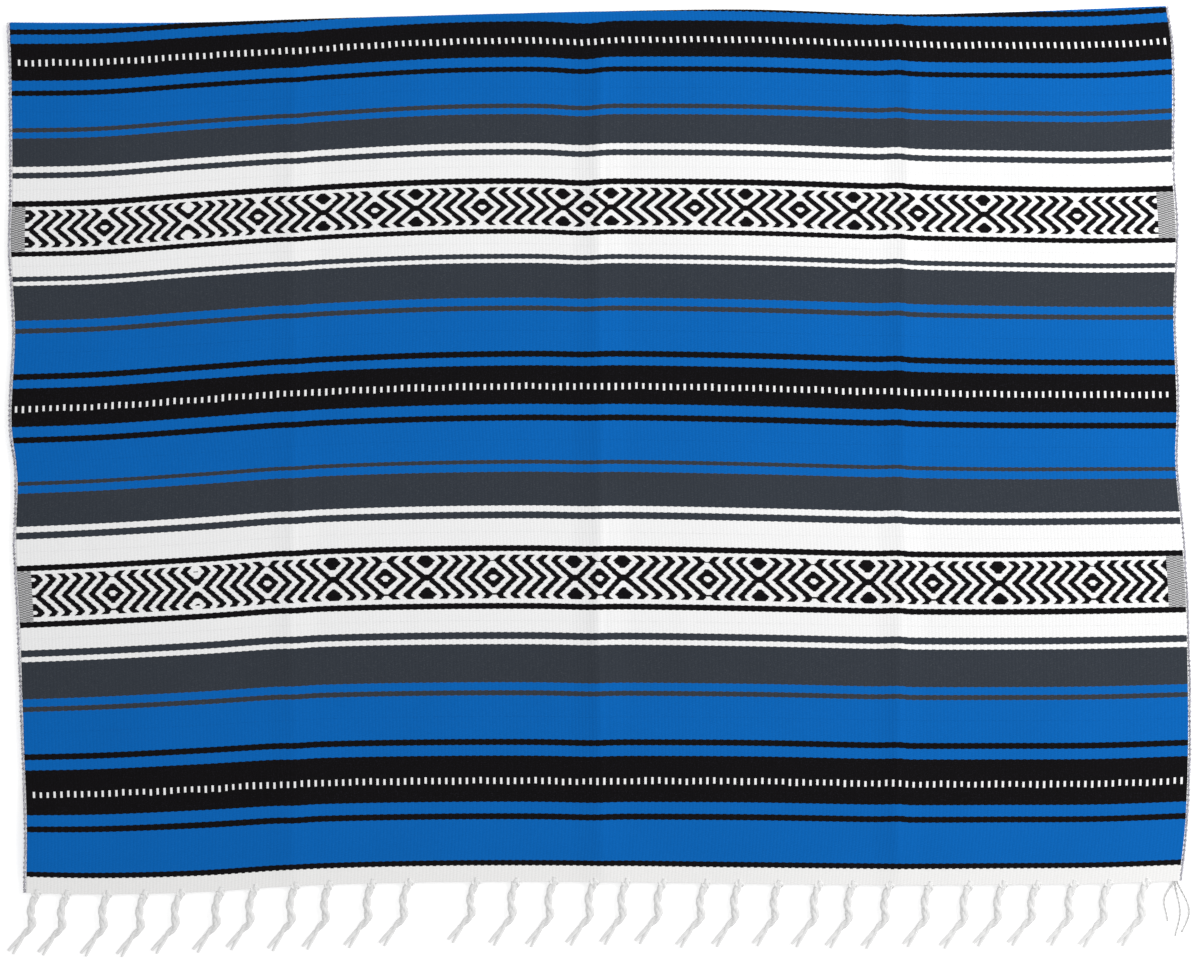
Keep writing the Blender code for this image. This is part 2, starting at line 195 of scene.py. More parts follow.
@dataclass(frozen=True)
class ClothForm:
    """Size and lie of the folded cloth.

    Attributes:
        thickness: Thickness of the web.
        layer_gap: Gap between the two halves where they lie on each other.
        selvedge_width: Width of the doubled warps along each side.
        seam_gap: Gap between the web and its selvedges.
        fold_level: Y of the fold where its edge has no drop.
        front_length: Fold to heading, upper half.
        back_length: Fold to heading, lower half.
        heading: Length of the white heading at each end.
        inner_radius: Inner radius of the turn of the fold.
        settle: How soon the upper half settles onto the lower one.
        fringe_rise: How far the upper half rises over the hidden tassels.
        rise_half_length: Half the length of that rise.
        back_fringe: Reach of the hidden tassels.
        dash_depth: Depth of the first row of dashes, where the weave is counted from.
    """

    thickness: float = 2.4
    layer_gap: float = 0.4
    selvedge_width: float = 4.0
    seam_gap: float = 0.3
    fold_level: float = 514.2
    front_length: float = 934.0
    back_length: float = 839.0
    heading: float = 18.0
    inner_radius: float = 0.9
    settle: float = 16.0
    fringe_rise: float = 3.4
    rise_half_length: float = 80.0
    back_fringe: float = 66.0
    dash_depth: float = 32.0

    @property
    def outer_radius(self) -> float:
        """Outer radius of the turn of the fold."""
        return self.inner_radius + self.thickness

    @property
    def turn_length(self) -> float:
        """Length of the web in the turn, along its middle."""
        return math.pi * (self.inner_radius + 0.5 * self.thickness)

    def past_turn(self, depth: np.ndarray) -> np.ndarray:
        """Depth counted from the end of the turn, which itself keeps one outline."""
        return np.maximum(depth - self.outer_radius - self.seam_gap, 0.0)

    def edge(self, column: str, depth: np.ndarray) -> np.ndarray:
        """Outer edge of a selvedge at a depth, from a named column of the edge table."""
        table = np.array(EDGE_TABLE)
        weights = hermite_weights(table[:, 0], self.past_turn(depth))
        return weights @ table[:, EDGE_COLUMN[column]]

    def bow(self, x: np.ndarray, depth: np.ndarray) -> np.ndarray:
        """How far the weft has dropped towards the hem at x."""
        table = np.array(BOW_TABLE)
        across = hermite_weights(table[:, 0], x) @ table[:, 1:]
        along = hermite_weights(np.array(BOW_DEPTHS), self.past_turn(depth))
        return np.sum(across * along, axis=-1)

    def under_bow(self, x: np.ndarray, depth: np.ndarray) -> np.ndarray:
        """The same for the lower half, which straightens out towards its own hem."""
        return self.bow(x, np.zeros_like(x)) * (1.0 - 0.6 * depth / self.back_length)

    def width_x(self, side: str, fraction: np.ndarray, depth: np.ndarray) -> np.ndarray:
        """X at a fraction of the web's width, inside the selvedges.

        Args:
            side: "x" for the upper half, "under" for the lower one.
            fraction: Fraction of the width, from the left.
            depth: Distance from the fold.

        Returns:
            X of each point.
        """
        inset = self.selvedge_width + self.seam_gap
        left = self.edge(side + "_left", depth) + inset
        right = self.edge(side + "_right", depth) - inset
        return left + (right - left) * fraction

    def relief(self, x: np.ndarray, depth: np.ndarray) -> np.ndarray:
        """Lift of the upper half off its bed: creases and broad swells."""
        lift = np.zeros(np.broadcast(x, depth).shape)
        share = np.minimum(depth / self.front_length, 1.0)
        for at_fold, at_hem, height, half, _, _, _ in CREASES:
            lift += height * bell((x - at_fold - (at_hem - at_fold) * share) / half)
        for centre_x, centre_depth, half_x, half_y, height in SWELLS:
            lift += height * bell((x - centre_x) / half_x) * bell((depth - centre_depth) / half_y)
        clear_of_fold = np.minimum(depth / 50.0, 1.0)
        to_end = self.front_length + self.heading - depth
        return lift * clear_of_fold * np.minimum(to_end / 60.0 + 0.35, 1.0)

    def wrinkles(self, x: np.ndarray, depth: np.ndarray) -> np.ndarray:
        """Fine relief of the upper half: crests of the creases and small soft wrinkles."""
        lift = np.zeros(np.broadcast(x, depth).shape)
        share = np.minimum(depth / self.front_length, 1.0)
        for at_fold, at_hem, _, _, crest, left, right in CREASES:
            waver = 1.6 * np.sin(depth / 71.0 + at_fold) + 0.8 * np.sin(depth / 29.0)
            off = x - at_fold - (at_hem - at_fold) * share - waver
            side = np.where(off < 0.0, left, right)
            swing = 0.8 + 0.2 * np.sin(depth / 97.0 + at_fold)
            lift += crest * swing * bell(off / side)
        for centre_x, centre_depth, turn, length, half, height in WRINKLES:
            cos, sin = math.cos(math.radians(turn)), math.sin(math.radians(turn))
            along = (x - centre_x) * cos + (depth - centre_depth) * sin
            off = (depth - centre_depth) * cos - (x - centre_x) * sin
            off = off + 5.0 * np.sin(along / 38.0 + centre_x)
            lift += height * bell(along / (0.6 * length)) * bell(off / half)
        clear_of_fold = np.clip((depth - 4.0) / 30.0, 0.0, 1.0)
        to_end = self.front_length + self.heading - depth
        return lift * clear_of_fold * np.clip(to_end / 45.0 + 0.2, 0.0, 1.0)

    def bed(self, depth: np.ndarray) -> np.ndarray:
        """Underside of the upper half before its relief."""
        flat = self.thickness + self.layer_gap
        nose = self.thickness + 2.0 * self.inner_radius
        past_nose = np.maximum(depth - self.outer_radius, 0.0)
        height = flat + (nose - flat) * np.exp(-past_nose / self.settle)
        middle = self.back_length + self.heading + 0.5 * self.back_fringe
        return height + self.fringe_rise * bell((depth - middle) / self.rise_half_length)

    def weft_dip(self, x: np.ndarray, depth: np.ndarray) -> np.ndarray:
        """Short local dips of the weft at the old folds."""
        dip = np.zeros(np.broadcast(x, depth).shape)
        fade = np.clip(depth / 420.0, 0.0, 1.0)
        ends = np.clip(depth / 12.0, 0.0, 1.0) * np.clip((self.front_length - depth) / 40.0, 0.0, 1.0)
        for centre, left, right, near, far in WEFT_DIPS:
            off = x - centre
            side = np.where(off < 0.0, left, right)
            dip += (near + (far - near) * fade) * np.exp(-0.5 * (off / (0.5 * side)) ** 2) * ends
        return dip


# ---------------------------------------------------------------------------------------------
# Order of the weave, counted in millimetres from the first row of dashes towards the upper hem
# ---------------------------------------------------------------------------------------------

# Quarter repeats, each from the middle of a black stripe to the middle of a figured band.
QUARTERS = (
    (("BLACK", 18.5), ("BLUE", 10.4), ("BLACK", 5.6), ("BLUE", 34.7), ("GREY", 4.9), ("BLUE", 6.5),
     ("GREY", 31.6), ("WHITE", 6.5), ("GREY", 6.5), ("WHITE", 25.1), ("BLACK", 6.5), ("WHITE", 24.5)),
    (("BLACK", 22.9), ("BLUE", 9.3), ("BLACK", 6.6), ("BLUE", 44.1), ("GREY", 5.5), ("BLUE", 8.7),
     ("GREY", 38.1), ("WHITE", 4.4), ("GREY", 5.5), ("WHITE", 21.8), ("BLACK", 5.5), ("WHITE", 24.5)),
    (("BLACK", 19.6), ("BLUE", 11.5), ("BLACK", 6.6), ("BLUE", 43.0), ("GREY", 4.4), ("BLUE", 8.7),
     ("GREY", 37.1), ("WHITE", 6.5), ("GREY", 7.6), ("WHITE", 29.4), ("BLACK", 6.5), ("WHITE", 28.3)),
    (("BLACK", 27.3), ("BLUE", 11.5), ("BLACK", 6.6), ("BLUE", 47.3), ("GREY", 5.5), ("BLUE", 8.7),
     ("GREY", 41.4), ("WHITE", 5.5), ("GREY", 7.6), ("WHITE", 25.1), ("BLACK", 6.5), ("WHITE", 28.3)),
)
LAST_STRIPES = (("BLACK", 22.9), ("BLUE", 12.6), ("BLACK", 6.6), ("BLUE", 45.2), ("BLACK", 5.5))

# Turning points of the figures: warp end, count of steps there. The arms of a figure open away
# from a high count and close on a low one.
FIGURE_TURNS = (
    (4.4, 24.5), (27.2, 2.0), (51.4, 26.0), (71.7, 6.0), (90.6, 24.0), (105.7, 10.0),
    (117.6, 20.0), (136.8, 2.0), (160.3, 24.0), (167.4, 18.0), (174.2, 24.0), (198.6, 2.0),
    (213.4, 16.0), (229.1, 2.0), (244.8, 16.0), (263.4, -2.0), (282.5, 16.0), (309.5, -10.0),
    (332.8, 13.0),
)


# Width of the web in millimetres, and its count of warp ends.
WEB_WIDTH = 1285.0
WARP_ENDS = 338

# Ends of the hatched blocks beside the figures, in warp ends.
LEFT_BLOCK_END = 4.0
RIGHT_BLOCK_START = 333.0

# Arms of a figure: steps from one arm to the next, steps in which the black weft shows, their
# place in the repeat, length of the flat tip, and steps after which an arm turns back.
ARM_REPEAT = 4.0
ARM_BLACK = 2.16
ARM_PLACE = 0.08
ARM_TIP = 1.15
ARM_TURN = 0.3


@dataclass(frozen=True)
class FigureBand:
    """One band of figures, crossing arms that turn back near its borders.

    Attributes:
        centre: Middle of the band along the warp.
        crossing: Where the arms cross, from the middle.
        pitch: Length along the warp in which an arm moves by one warp end.
        turn: Count of steps at which the arms turn back.
        above: End of the arms towards the fold, from the middle.
        below: End of the arms towards the hem, from the middle.
        shift: Slope of the figures' places against the first band, in ends at the right edge.
        block_reach: Reach of the hatched blocks along the warp, from the middle.
    """

    centre: float
    crossing: float
    pitch: float
    turn: float
    above: float
    below: float
    shift: float = 0.0
    block_reach: float = 24.0

    def is_black(self, end: np.ndarray, along: np.ndarray) -> np.ndarray:
        """Whether the black weft shows.

        Args:
            end: Position across, in warp ends.
            along: Position along the warp.

        Returns:
            True for each place where it shows.
        """
        ends, counts = [], []
        for at_end, count in FIGURE_TURNS:
            ends += [at_end - 0.5, at_end + 0.5]
            counts += [count, count]
        steps = np.interp(end - self.shift * end / WARP_ENDS, ends, counts)
        off = along - self.centre
        climb = np.abs(off - self.crossing) / self.pitch
        top = self.turn - ARM_TIP
        over = np.maximum(climb - top - ARM_TURN, 0.0)
        rows = ARM_TIP + np.minimum(climb, top) - over
        inside = (off > -self.above) & (off < self.below)
        return inside & (np.mod(steps + rows + ARM_PLACE, ARM_REPEAT) < ARM_BLACK)


@dataclass(frozen=True)
class DashRow:
    """A row of white dashes on every second warp end.

    Attributes:
        centre: Middle of the row along the warp.
        length: Length of a dash along the warp.
        parity: Which of each two ends carries the dash.
        waver: How far the dashes stray along the warp.
    """

    centre: float
    length: float
    parity: int
    waver: float

    def is_white(self, end: np.ndarray, along: np.ndarray) -> np.ndarray:
        """Whether a dash shows at these warp ends and places along the warp."""
        index = np.floor(end)
        stray = self.waver * (np.sin(index * 0.37) + 0.6 * np.sin(index * 1.93 + 1.0))
        size = 0.5 * self.length * (1.0 + 0.07 * np.sin(index * 2.7))
        near = (np.abs(along - self.centre - stray) < size) & (end - index < 0.67)
        return near & (np.mod(index, 2.0) == self.parity) & (index > 0.0) & (index < 337.0)


@dataclass
class WeaveOrder:
    """Stripes, dashes and figures of the whole cloth.

    Attributes:
        upper_end: End of the web at the upper hem.
        lower_end: End of the web at the lower hem.
        heading: Length of the headings beyond those ends.
    """

    upper_end: float
    lower_end: float
    heading: float
    edges: list[float] = field(init=False)
    yarns: list[int] = field(init=False)
    bands: list[FigureBand] = field(init=False)
    dashes: list[DashRow] = field(init=False)

    def __post_init__(self) -> None:
        """Lay the quarter repeats out from the first black stripe both ways."""
        one, two, three, four = QUARTERS
        forward = [*one, *reversed(two), *three, *reversed(four), *LAST_STRIPES]
        backward = [("BLACK", 20.7), ("BLUE", 9.8), *one[2:], *reversed(two), *three, *reversed(four),
                    *LAST_STRIPES, *four]
        ahead = self._run(forward, self.upper_end)
        behind = [(-place, yarn) for place, yarn in self._run(backward, -self.lower_end)]
        behind.reverse()
        self.edges = [self.lower_end - self.heading] + [place for place, _ in behind] + [0.0]
        self.yarns = [Yarn.HEADING.value] + [yarn for _, yarn in behind]
        self.edges += [place for place, _ in ahead] + [self.upper_end + self.heading]
        self.yarns += [yarn for _, yarn in ahead] + [Yarn.HEADING.value]
        self.bands = [
            FigureBand(181.3, 0.4, 3.28, 5.75, 21.0, 20.4),
            FigureBand(587.4, 0.2, 3.7, 5.98, 24.5, 23.4, 2.0, 27.5),
            FigureBand(-181.3, 1.0, 3.3, 5.75, 20.0, 21.0),
            FigureBand(-587.4, 0.2, 3.7, 5.98, 23.0, 23.0, 2.0, 27.5),
        ]
        self.dashes = [
            DashRow(0.0, 6.4, 0, 0.3), DashRow(378.2, 6.8, 1, 0.4), DashRow(808.7, 6.8, 0, 0.4),
            DashRow(-378.2, 7.8, 1, 0.5), DashRow(-808.7, 8.2, 1, 0.5),
        ]

    @staticmethod
    def _run(stripes: list[tuple[str, float]], limit: float) -> list[tuple[float, int]]:
        """Ends and yarns of stripes laid one after another up to a limit."""
        place, run = 0.0, []
        for name, width in stripes:
            place = min(place + width, limit)
            run.append((place, Yarn[name].value))
            if place >= limit:
                break
        run[-1] = (limit, run[-1][1])
        return run

    def changes(self, low: float, high: float) -> list[float]:
        """Places along the warp where the weft changes colour, between two limits."""
        found = []
        for i, place in enumerate(self.edges[1:-1]):
            if low < place < high and self.yarns[i] != self.yarns[i + 1]:
                found.append(place)
        return found

    def yarn_at(self, end: np.ndarray, along: np.ndarray) -> np.ndarray:
        """Number of the yarn that shows.

        Args:
            end: Position across, in warp ends.
            along: Position along the warp.

        Returns:
            Numbers from Yarn.
        """
        index = np.floor(end)
        edges = np.array(self.edges)
        above = np.clip(np.searchsorted(edges, along), 1, len(edges) - 1)
        nearest = np.where(along - edges[above - 1] < edges[above] - along, above - 1, above)
        tooth = np.where(np.mod(index + nearest, 2.0) < 0.5, 0.25, -0.25)
        place = np.clip(along + tooth, self.edges[0] + 0.01, self.edges[-1] - 0.01)
        stripe = np.searchsorted(edges, place, side="right") - 1
        yarn = np.array(self.yarns)[np.clip(stripe, 0, len(self.yarns) - 1)]
        for band in self.bands:
            inside = np.abs(along - band.centre) < band.block_reach
            block = inside & ((end < LEFT_BLOCK_END) | (end > RIGHT_BLOCK_START))
            figure = inside & ~block & band.is_black(end, along)
            yarn = np.where(figure, Yarn.BLACK.value, yarn)
            yarn = np.where(block, Yarn.HEATHER.value, yarn)
        for row in self.dashes:
            yarn = np.where(row.is_white(end, along), Yarn.WHITE.value, yarn)
        return yarn

    def rows(self, low: float, high: float, pace: float, fine: bool) -> np.ndarray:
        """Places of the mesh rows between two limits.

        Args:
            low: First row.
            high: Last row.
            pace: Widest gap between rows in the plain stripes.
            fine: Whether teeth, dashes and figures get rows of their own.

        Returns:
            Rising places along the warp.
        """
        marks = {low, low + 0.35, high - 0.35, high}
        for place in self.changes(low, high):
            if fine:
                marks.update((place - 0.2, place + 0.2))
            else:
                marks.add(place)
        if fine:
            for row in self.dashes:
                steps = np.concatenate((np.arange(-5.6, -2.0, 0.75), np.arange(2.0, 5.7, 0.75)))
                marks.update(row.centre + float(step) for step in steps)
            for band in self.bands:
                count = int(round((band.above + band.below) / 1.0))
                marks.update(band.centre + float(step) for step in
                             np.linspace(-band.above, band.below, count + 1))
        places = sorted(mark for mark in marks if low <= mark <= high)
        kept = [places[0]]
        for place in places[1:]:
            if place - kept[-1] < 0.3 and place != high:
                continue
            if place - kept[-1] < 0.3:
                kept[-1] = place
                continue
            count = max(int(math.ceil((place - kept[-1]) / pace)), 1)
            start = kept[-1]
            kept += [start + (place - start) * step / count for step in range(1, count + 1)]
        return np.array(kept)


# ---------------------------------------------------------------------------------------------
# From the weave to the folded cloth
# ---------------------------------------------------------------------------------------------


@dataclass
class FoldedCloth:
    """Places points of the weave on the folded cloth.

    Attributes:
        form: Size and lie of the cloth.
        warp_ends: Count of warp ends across the web.
    """

    form: ClothForm
    warp_ends: int = WARP_ENDS

    @property
    def lower_end(self) -> float:
        """Place of the lower hem's edge of the web, along the warp."""
        form = self.form
        return -(form.dash_depth - 2.0 * form.outer_radius + form.turn_length + form.back_length)

    def turn_start(self, fraction: np.ndarray) -> tuple[np.ndarray, np.ndarray, np.ndarray]:
        """Samples of the weave between the turn and the first row of dashes.

        Args:
            fraction: Fractions of the width, one for each column.

        Returns:
            Depths of the samples, their places along the warp for each column, and the place along
            the warp where the turn starts for each column.
        """
        form = self.form
        depths = np.linspace(0.0, form.dash_depth, 65)
        across = np.broadcast_to(fraction[:, None], (len(fraction), len(depths)))
        down = np.broadcast_to(depths[None, :], across.shape)
        x = form.width_x("x", across, down)
        bow = form.bow(x, down)
        places = down - form.dash_depth + bow - bow[:, -1:]
        start = np.array([np.interp(form.outer_radius, depths, row) for row in places])
        return depths, places, start

    def place(self, fraction: np.ndarray, along: np.ndarray, lift: np.ndarray
              ) -> tuple[np.ndarray, np.ndarray]:
        """Points on the folded cloth.

        Args:
            fraction: Fractions of the width, one for each column.
            along: Places along the warp, one for each row.
            lift: Height off the middle of the web, one for each row and column.

        Returns:
            Points and outward directions, row by row, in millimetres.
        """
        form = self.form
        shape = (len(along), len(fraction))
        depths, places, start = self.turn_start(fraction)
        near = np.stack([np.interp(along, places[i], depths) for i in range(shape[1])], axis=1)
        rows = np.broadcast_to(along[:, None], shape)
        across = np.broadcast_to(fraction[None, :], shape)
        depth = np.where(rows >= 0.0, rows + form.dash_depth, near)
        x = form.width_x("x", across, depth)
        depth = depth + form.weft_dip(x, depth) * (rows > start[None, :])
        upper = np.stack((
            x,
            form.fold_level - form.bow(x, depth) - depth,
            form.bed(depth) + form.relief(x, depth) + form.wrinkles(x, depth)
            + 0.5 * form.thickness + lift,
        ), axis=-1)
        past = start[None, :] - rows
        angle = np.clip(past / (form.turn_length / math.pi), 0.0, math.pi)
        fold_x = form.width_x("x", across, np.zeros(shape))
        radius = form.inner_radius + 0.5 * form.thickness + lift
        level = form.fold_level - form.bow(fold_x, np.zeros(shape))
        turn = np.stack((
            fold_x,
            level - form.outer_radius + radius * np.sin(angle),
            form.outer_radius + radius * np.cos(angle),
        ), axis=-1)
        reach = start - form.turn_length - self.lower_end
        scale = (form.back_length - form.outer_radius) / reach
        beyond = np.maximum(self.lower_end - rows, 0.0)
        under = form.outer_radius + (past - form.turn_length - beyond) * scale[None, :] + beyond
        under_x = form.width_x("under", across, under)
        lower = np.stack((
            under_x,
            form.fold_level - form.under_bow(under_x, under) - under,
            np.maximum(0.5 * form.thickness - lift, 0.0),
        ), axis=-1)
        points = np.where((past <= 0.0)[..., None], upper, turn)
        points = np.where((past > form.turn_length)[..., None], lower, points)
        outward = np.zeros(points.shape)
        outward[..., 1] = np.sin(angle)
        outward[..., 2] = np.cos(angle)
        return points, outward


# ---------------------------------------------------------------------------------------------
# Node trees and finishes
# ---------------------------------------------------------------------------------------------

Socket = bpy.types.NodeSocket


class Graph:
    """Short calls for building a shader or geometry node tree."""

    def __init__(self, tree: bpy.types.NodeTree) -> None:
        """Keep the tree that nodes are added to."""
        self.tree = tree

    def add(self, kind: str, inputs: dict | None = None, **settings: object) -> bpy.types.Node:
        """Add a node.

        Args:
            kind: Type of the node.
            inputs: Sockets or constants for inputs, by name or by number.
            **settings: Properties of the node.

        Returns:
            The node.
        """
        node = self.tree.nodes.new(kind)
        for name, value in settings.items():
            setattr(node, name, value)
        for key, value in (inputs or {}).items():
            if isinstance(value, bpy.types.NodeSocket):
                self.tree.links.new(value, node.inputs[key])
            else:
                node.inputs[key].default_value = value
        return node

    def math(self, operation: str, first: Socket | float, second: Socket | float = 0.0,
             third: Socket | float = 0.0, clamp: bool = False) -> Socket:
        """Result of a math node."""
        values = {0: first, 1: second, 2: third}
        kind = "ShaderNodeMath"
        node = self.add(kind, values, operation=operation, use_clamp=clamp)
        return node.outputs[0]

    def vector_math(self, operation: str, first: object, second: object = (0.0, 0.0, 0.0)) -> Socket:
        """Vector result of a vector math node."""
        return self.add("ShaderNodeVectorMath", {0: first, 1: second}, operation=operation).outputs[0]

    def scaled(self, vector: Socket, factor: Socket | float) -> Socket:
        """Vector times a number."""
        node = self.add("ShaderNodeVectorMath", {0: vector}, operation="SCALE")
        if isinstance(factor, bpy.types.NodeSocket):
            self.tree.links.new(factor, node.inputs["Scale"])
        else:
            node.inputs["Scale"].default_value = factor
        return node.outputs[0]

    def attribute(self, name: str, kind: str) -> Socket:
        """Named attribute of a geometry."""
        node = self.add("GeometryNodeInputNamedAttribute", {"Name": name}, data_type=kind)
        return node.outputs["Attribute"]


@dataclass(frozen=True)
class GeometryTool:
    """A geometry node tree with named inputs.

    Attributes:
        tree: The node tree.
    """

    tree: bpy.types.NodeTree

    @classmethod
    def start(cls, name: str, inputs: dict[str, tuple[str, object]]) -> tuple["GeometryTool", Graph,
                                                                             bpy.types.Node]:
        """Make a tree with a geometry input and output and its own named inputs.

        Args:
            name: Name of the tree.
            inputs: Socket type and default of each named input.

        Returns:
            The tool, its graph and the group input node.
        """
        tree = bpy.data.node_groups.new(name, "GeometryNodeTree")
        tree.interface.new_socket("Geometry", in_out="INPUT", socket_type="NodeSocketGeometry")
        for label, (kind, value) in inputs.items():
            socket = tree.interface.new_socket(label, in_out="INPUT", socket_type=kind)
            if value is not None:
                socket.default_value = value
        tree.interface.new_socket("Geometry", in_out="OUTPUT", socket_type="NodeSocketGeometry")
        graph = Graph(tree)
        return cls(tree), graph, graph.add("NodeGroupInput")

    def close(self, graph: Graph, geometry: Socket) -> None:
        """Join the last geometry to the output of the tree."""
        graph.add("NodeGroupOutput", {0: geometry})

    def shape(self, piece: bpy.types.Object, values: dict[str, object]) -> None:
        """Run the tree on a piece and keep the result as its plain mesh.

        Args:
            piece: Object that holds the guide or the base mesh.
            values: Values for the named inputs.
        """
        modifier = piece.modifiers.new(self.tree.name, "NODES")
        modifier.node_group = self.tree
        for item in self.tree.interface.items_tree:
            if item.item_type == "SOCKET" and item.in_out == "INPUT" and item.name in values:
                modifier[item.identifier] = values[item.name]
        piece.update_tag()
        graph = bpy.context.evaluated_depsgraph_get()
        made = bpy.data.meshes.new_from_object(
            piece.evaluated_get(graph), preserve_all_data_layers=True, depsgraph=graph)
        piece.modifiers.clear()
        old, piece.data = piece.data, made
        made.name = piece.name
        bpy.data.meshes.remove(old)


@dataclass(frozen=True)
class YarnFinish:
    """Matte dyed yarn as woven in the web.

    Attributes:
        name: Name of the material.
        colour: Linear colour.
        fleck: Linear colour of stray fibres and of the second yarn of a mixed block.
        flecks: Share of the fleck colour.
        mottle: Strength of the slow changes of shade.
        grain: Strength of the fibre noise.
        furrow_shade: Painted shade, how much darker the colour is made in the furrows between two warp
            ends and between picks.
        hatch: Strength of a hatching of the two colours, pick by pick.
        pick: Length along the warp of one pick of weft.
    """

    name: str
    colour: tuple[float, float, float]
    fleck: tuple[float, float, float]
    flecks: float = 0.06
    mottle: float = 0.05
    grain: float = 0.10
    furrow_shade: float = 0.10
    hatch: float = 0.0
    pick: float = 1.9

    def build(self) -> bpy.types.Material:
        """Make the material.

        Returns:
            The material.
        """
        material = bpy.data.materials.new(self.name)
        material.use_nodes = True
        graph = Graph(material.node_tree)
        shader = material.node_tree.nodes["Principled BSDF"]
        weave = graph.add("ShaderNodeUVMap", uv_map="weave").outputs[0]
        split = graph.add("ShaderNodeSeparateXYZ", {0: weave})
        end, along = split.outputs[0], split.outputs[1]
        own = graph.add("ShaderNodeTexCoord").outputs["Object"]
        wide = graph.add("ShaderNodeTexNoise", {"Vector": own, "Scale": 9.0, "Detail": 3.0})
        spots = graph.add("ShaderNodeTexNoise", {"Vector": own, "Scale": 900.0, "Detail": 2.0})
        stretched = graph.vector_math("MULTIPLY", own, (260.0, 1500.0, 700.0))
        fibre = graph.add("ShaderNodeTexNoise", {"Vector": stretched, "Scale": 1.0, "Detail": 4.0})
        rib = graph.math("ABSOLUTE", graph.math("SINE", graph.math("MULTIPLY", end, math.pi)))
        parity = graph.math("MODULO", graph.math("FLOOR", end), 2.0)
        beat = graph.math("MULTIPLY_ADD", parity, 0.5, graph.math("MULTIPLY", along, 1.0 / self.pick))
        beat = graph.math("MULTIPLY_ADD", wide.outputs[0], 1.5, beat)
        pick = graph.math("ABSOLUTE", graph.math("SINE", graph.math("MULTIPLY", beat, math.pi)))
        height = graph.math("MULTIPLY", graph.math("POWER", rib, 0.6), graph.math("POWER", pick, 0.5))
        # Painted shade: the colour is made darker where the weave is low, in the furrows between warp
        # ends and between picks.
        shade = graph.math("MULTIPLY_ADD", height, self.furrow_shade, 1.0 - self.furrow_shade)
        grain = graph.math("SUBTRACT", fibre.outputs[0], 0.5)
        shade = graph.math("MULTIPLY_ADD", grain, 2.0 * self.grain, shade)
        slow = graph.math("SUBTRACT", wide.outputs[0], 0.5)
        shade = graph.math("MULTIPLY_ADD", slow, 2.0 * self.mottle, shade)
        share = graph.math("MULTIPLY", graph.math("GREATER_THAN", spots.outputs[0], 0.62), self.flecks)
        if self.hatch > 0.0:
            cells = graph.math("GREATER_THAN", graph.math("SUBTRACT", beat, graph.math(
                "FLOOR", beat)), 0.5)
            share = graph.math("MULTIPLY_ADD", cells, self.hatch, share, clamp=True)
        mixed = graph.add("ShaderNodeMix", {0: share, 6: (*self.colour, 1.0), 7: (*self.fleck, 1.0)},
                          data_type="RGBA")
        tinted = graph.add("ShaderNodeVectorMath", {0: mixed.outputs[2]}, operation="SCALE")
        material.node_tree.links.new(shade, tinted.inputs["Scale"])
        material.node_tree.links.new(tinted.outputs[0], shader.inputs["Base Color"])
        tall = graph.math("MULTIPLY_ADD", fibre.outputs[0], 0.5, height)
        bump = graph.add("ShaderNodeBump", {"Strength": 0.35, "Distance": 0.0005, "Height": tall})
        material.node_tree.links.new(bump.outputs[0], shader.inputs["Normal"])
        shader.inputs["Roughness"].default_value = 0.95
        shader.inputs["Specular IOR Level"].default_value = 0.06
        return material


WEB_FINISHES = (
    YarnFinish("black weft", (0.0056, 0.0050, 0.0058), (0.03, 0.028, 0.04), 0.25, 0.12, 0.16, 0.12),
    YarnFinish("blue weft", (0.0028, 0.122, 0.450), (0.02, 0.20, 0.58), 0.12, 0.05, 0.10, 0.06),
    YarnFinish("grey weft", (0.036, 0.043, 0.055), (0.13, 0.14, 0.155), 0.18, 0.08, 0.16, 0.12),
    YarnFinish("white weft", (0.86, 0.86, 0.865), (0.70, 0.71, 0.74), 0.10, 0.015, 0.05, 0.06),
    YarnFinish("mixed end block", (0.018, 0.018, 0.022), (0.72, 0.72, 0.73), 0.15, 0.1, 0.1, 0.1, 0.9),
    YarnFinish("heading cotton", (0.85, 0.845, 0.84), (0.74, 0.74, 0.74), 0.10, 0.02, 0.06, 0.05),
)


@dataclass(frozen=True)
class CordFinish:
    """Matte twisted cotton, with painted shade in the hollows between its strands.

    Attributes:
        name: Name of the material.
        colour: Linear colour of the crown of a strand.
        hollow_shade: Painted shade, the darker linear colour given to the hollows between strands.
    """

    name: str
    colour: tuple[float, float, float]
    hollow_shade: tuple[float, float, float]

    def build(self) -> bpy.types.Material:
        """Make the material.

        Returns:
            The material.
        """
        material = bpy.data.materials.new(self.name)
        material.use_nodes = True
        graph = Graph(material.node_tree)
        shader = material.node_tree.nodes["Principled BSDF"]
        own = graph.add("ShaderNodeTexCoord").outputs["Object"]
        wide = graph.add("ShaderNodeTexNoise", {"Vector": own, "Scale": 60.0, "Detail": 2.0})
        fibre = graph.add("ShaderNodeTexNoise", {"Vector": own, "Scale": 1400.0, "Detail": 4.0})
        crown = graph.add("ShaderNodeAttribute", attribute_name="crown").outputs["Fac"]
        share = graph.math("MULTIPLY_ADD", graph.math("SUBTRACT", fibre.outputs[0], 0.5), 0.9, crown,
                           clamp=True)
        share = graph.math("MULTIPLY_ADD", graph.math("SUBTRACT", wide.outputs[0], 0.5), 0.5, share,
                           clamp=True)
        # Painted shade: the hollows between strands get the darker hollow colour and the crowns the
        # lighter one.
        mixed = graph.add("ShaderNodeMix", {0: share, 6: (*self.hollow_shade, 1.0), 7: (*self.colour, 1.0)},
                          data_type="RGBA")
        material.node_tree.links.new(mixed.outputs[2], shader.inputs["Base Color"])
        tall = graph.math("MULTIPLY_ADD", fibre.outputs[0], 0.6, crown)
        bump = graph.add("ShaderNodeBump", {"Strength": 0.5, "Distance": 0.0004, "Height": tall})
        material.node_tree.links.new(bump.outputs[0], shader.inputs["Normal"])
        shader.inputs["Roughness"].default_value = 0.95
        shader.inputs["Specular IOR Level"].default_value = 0.06
        return material


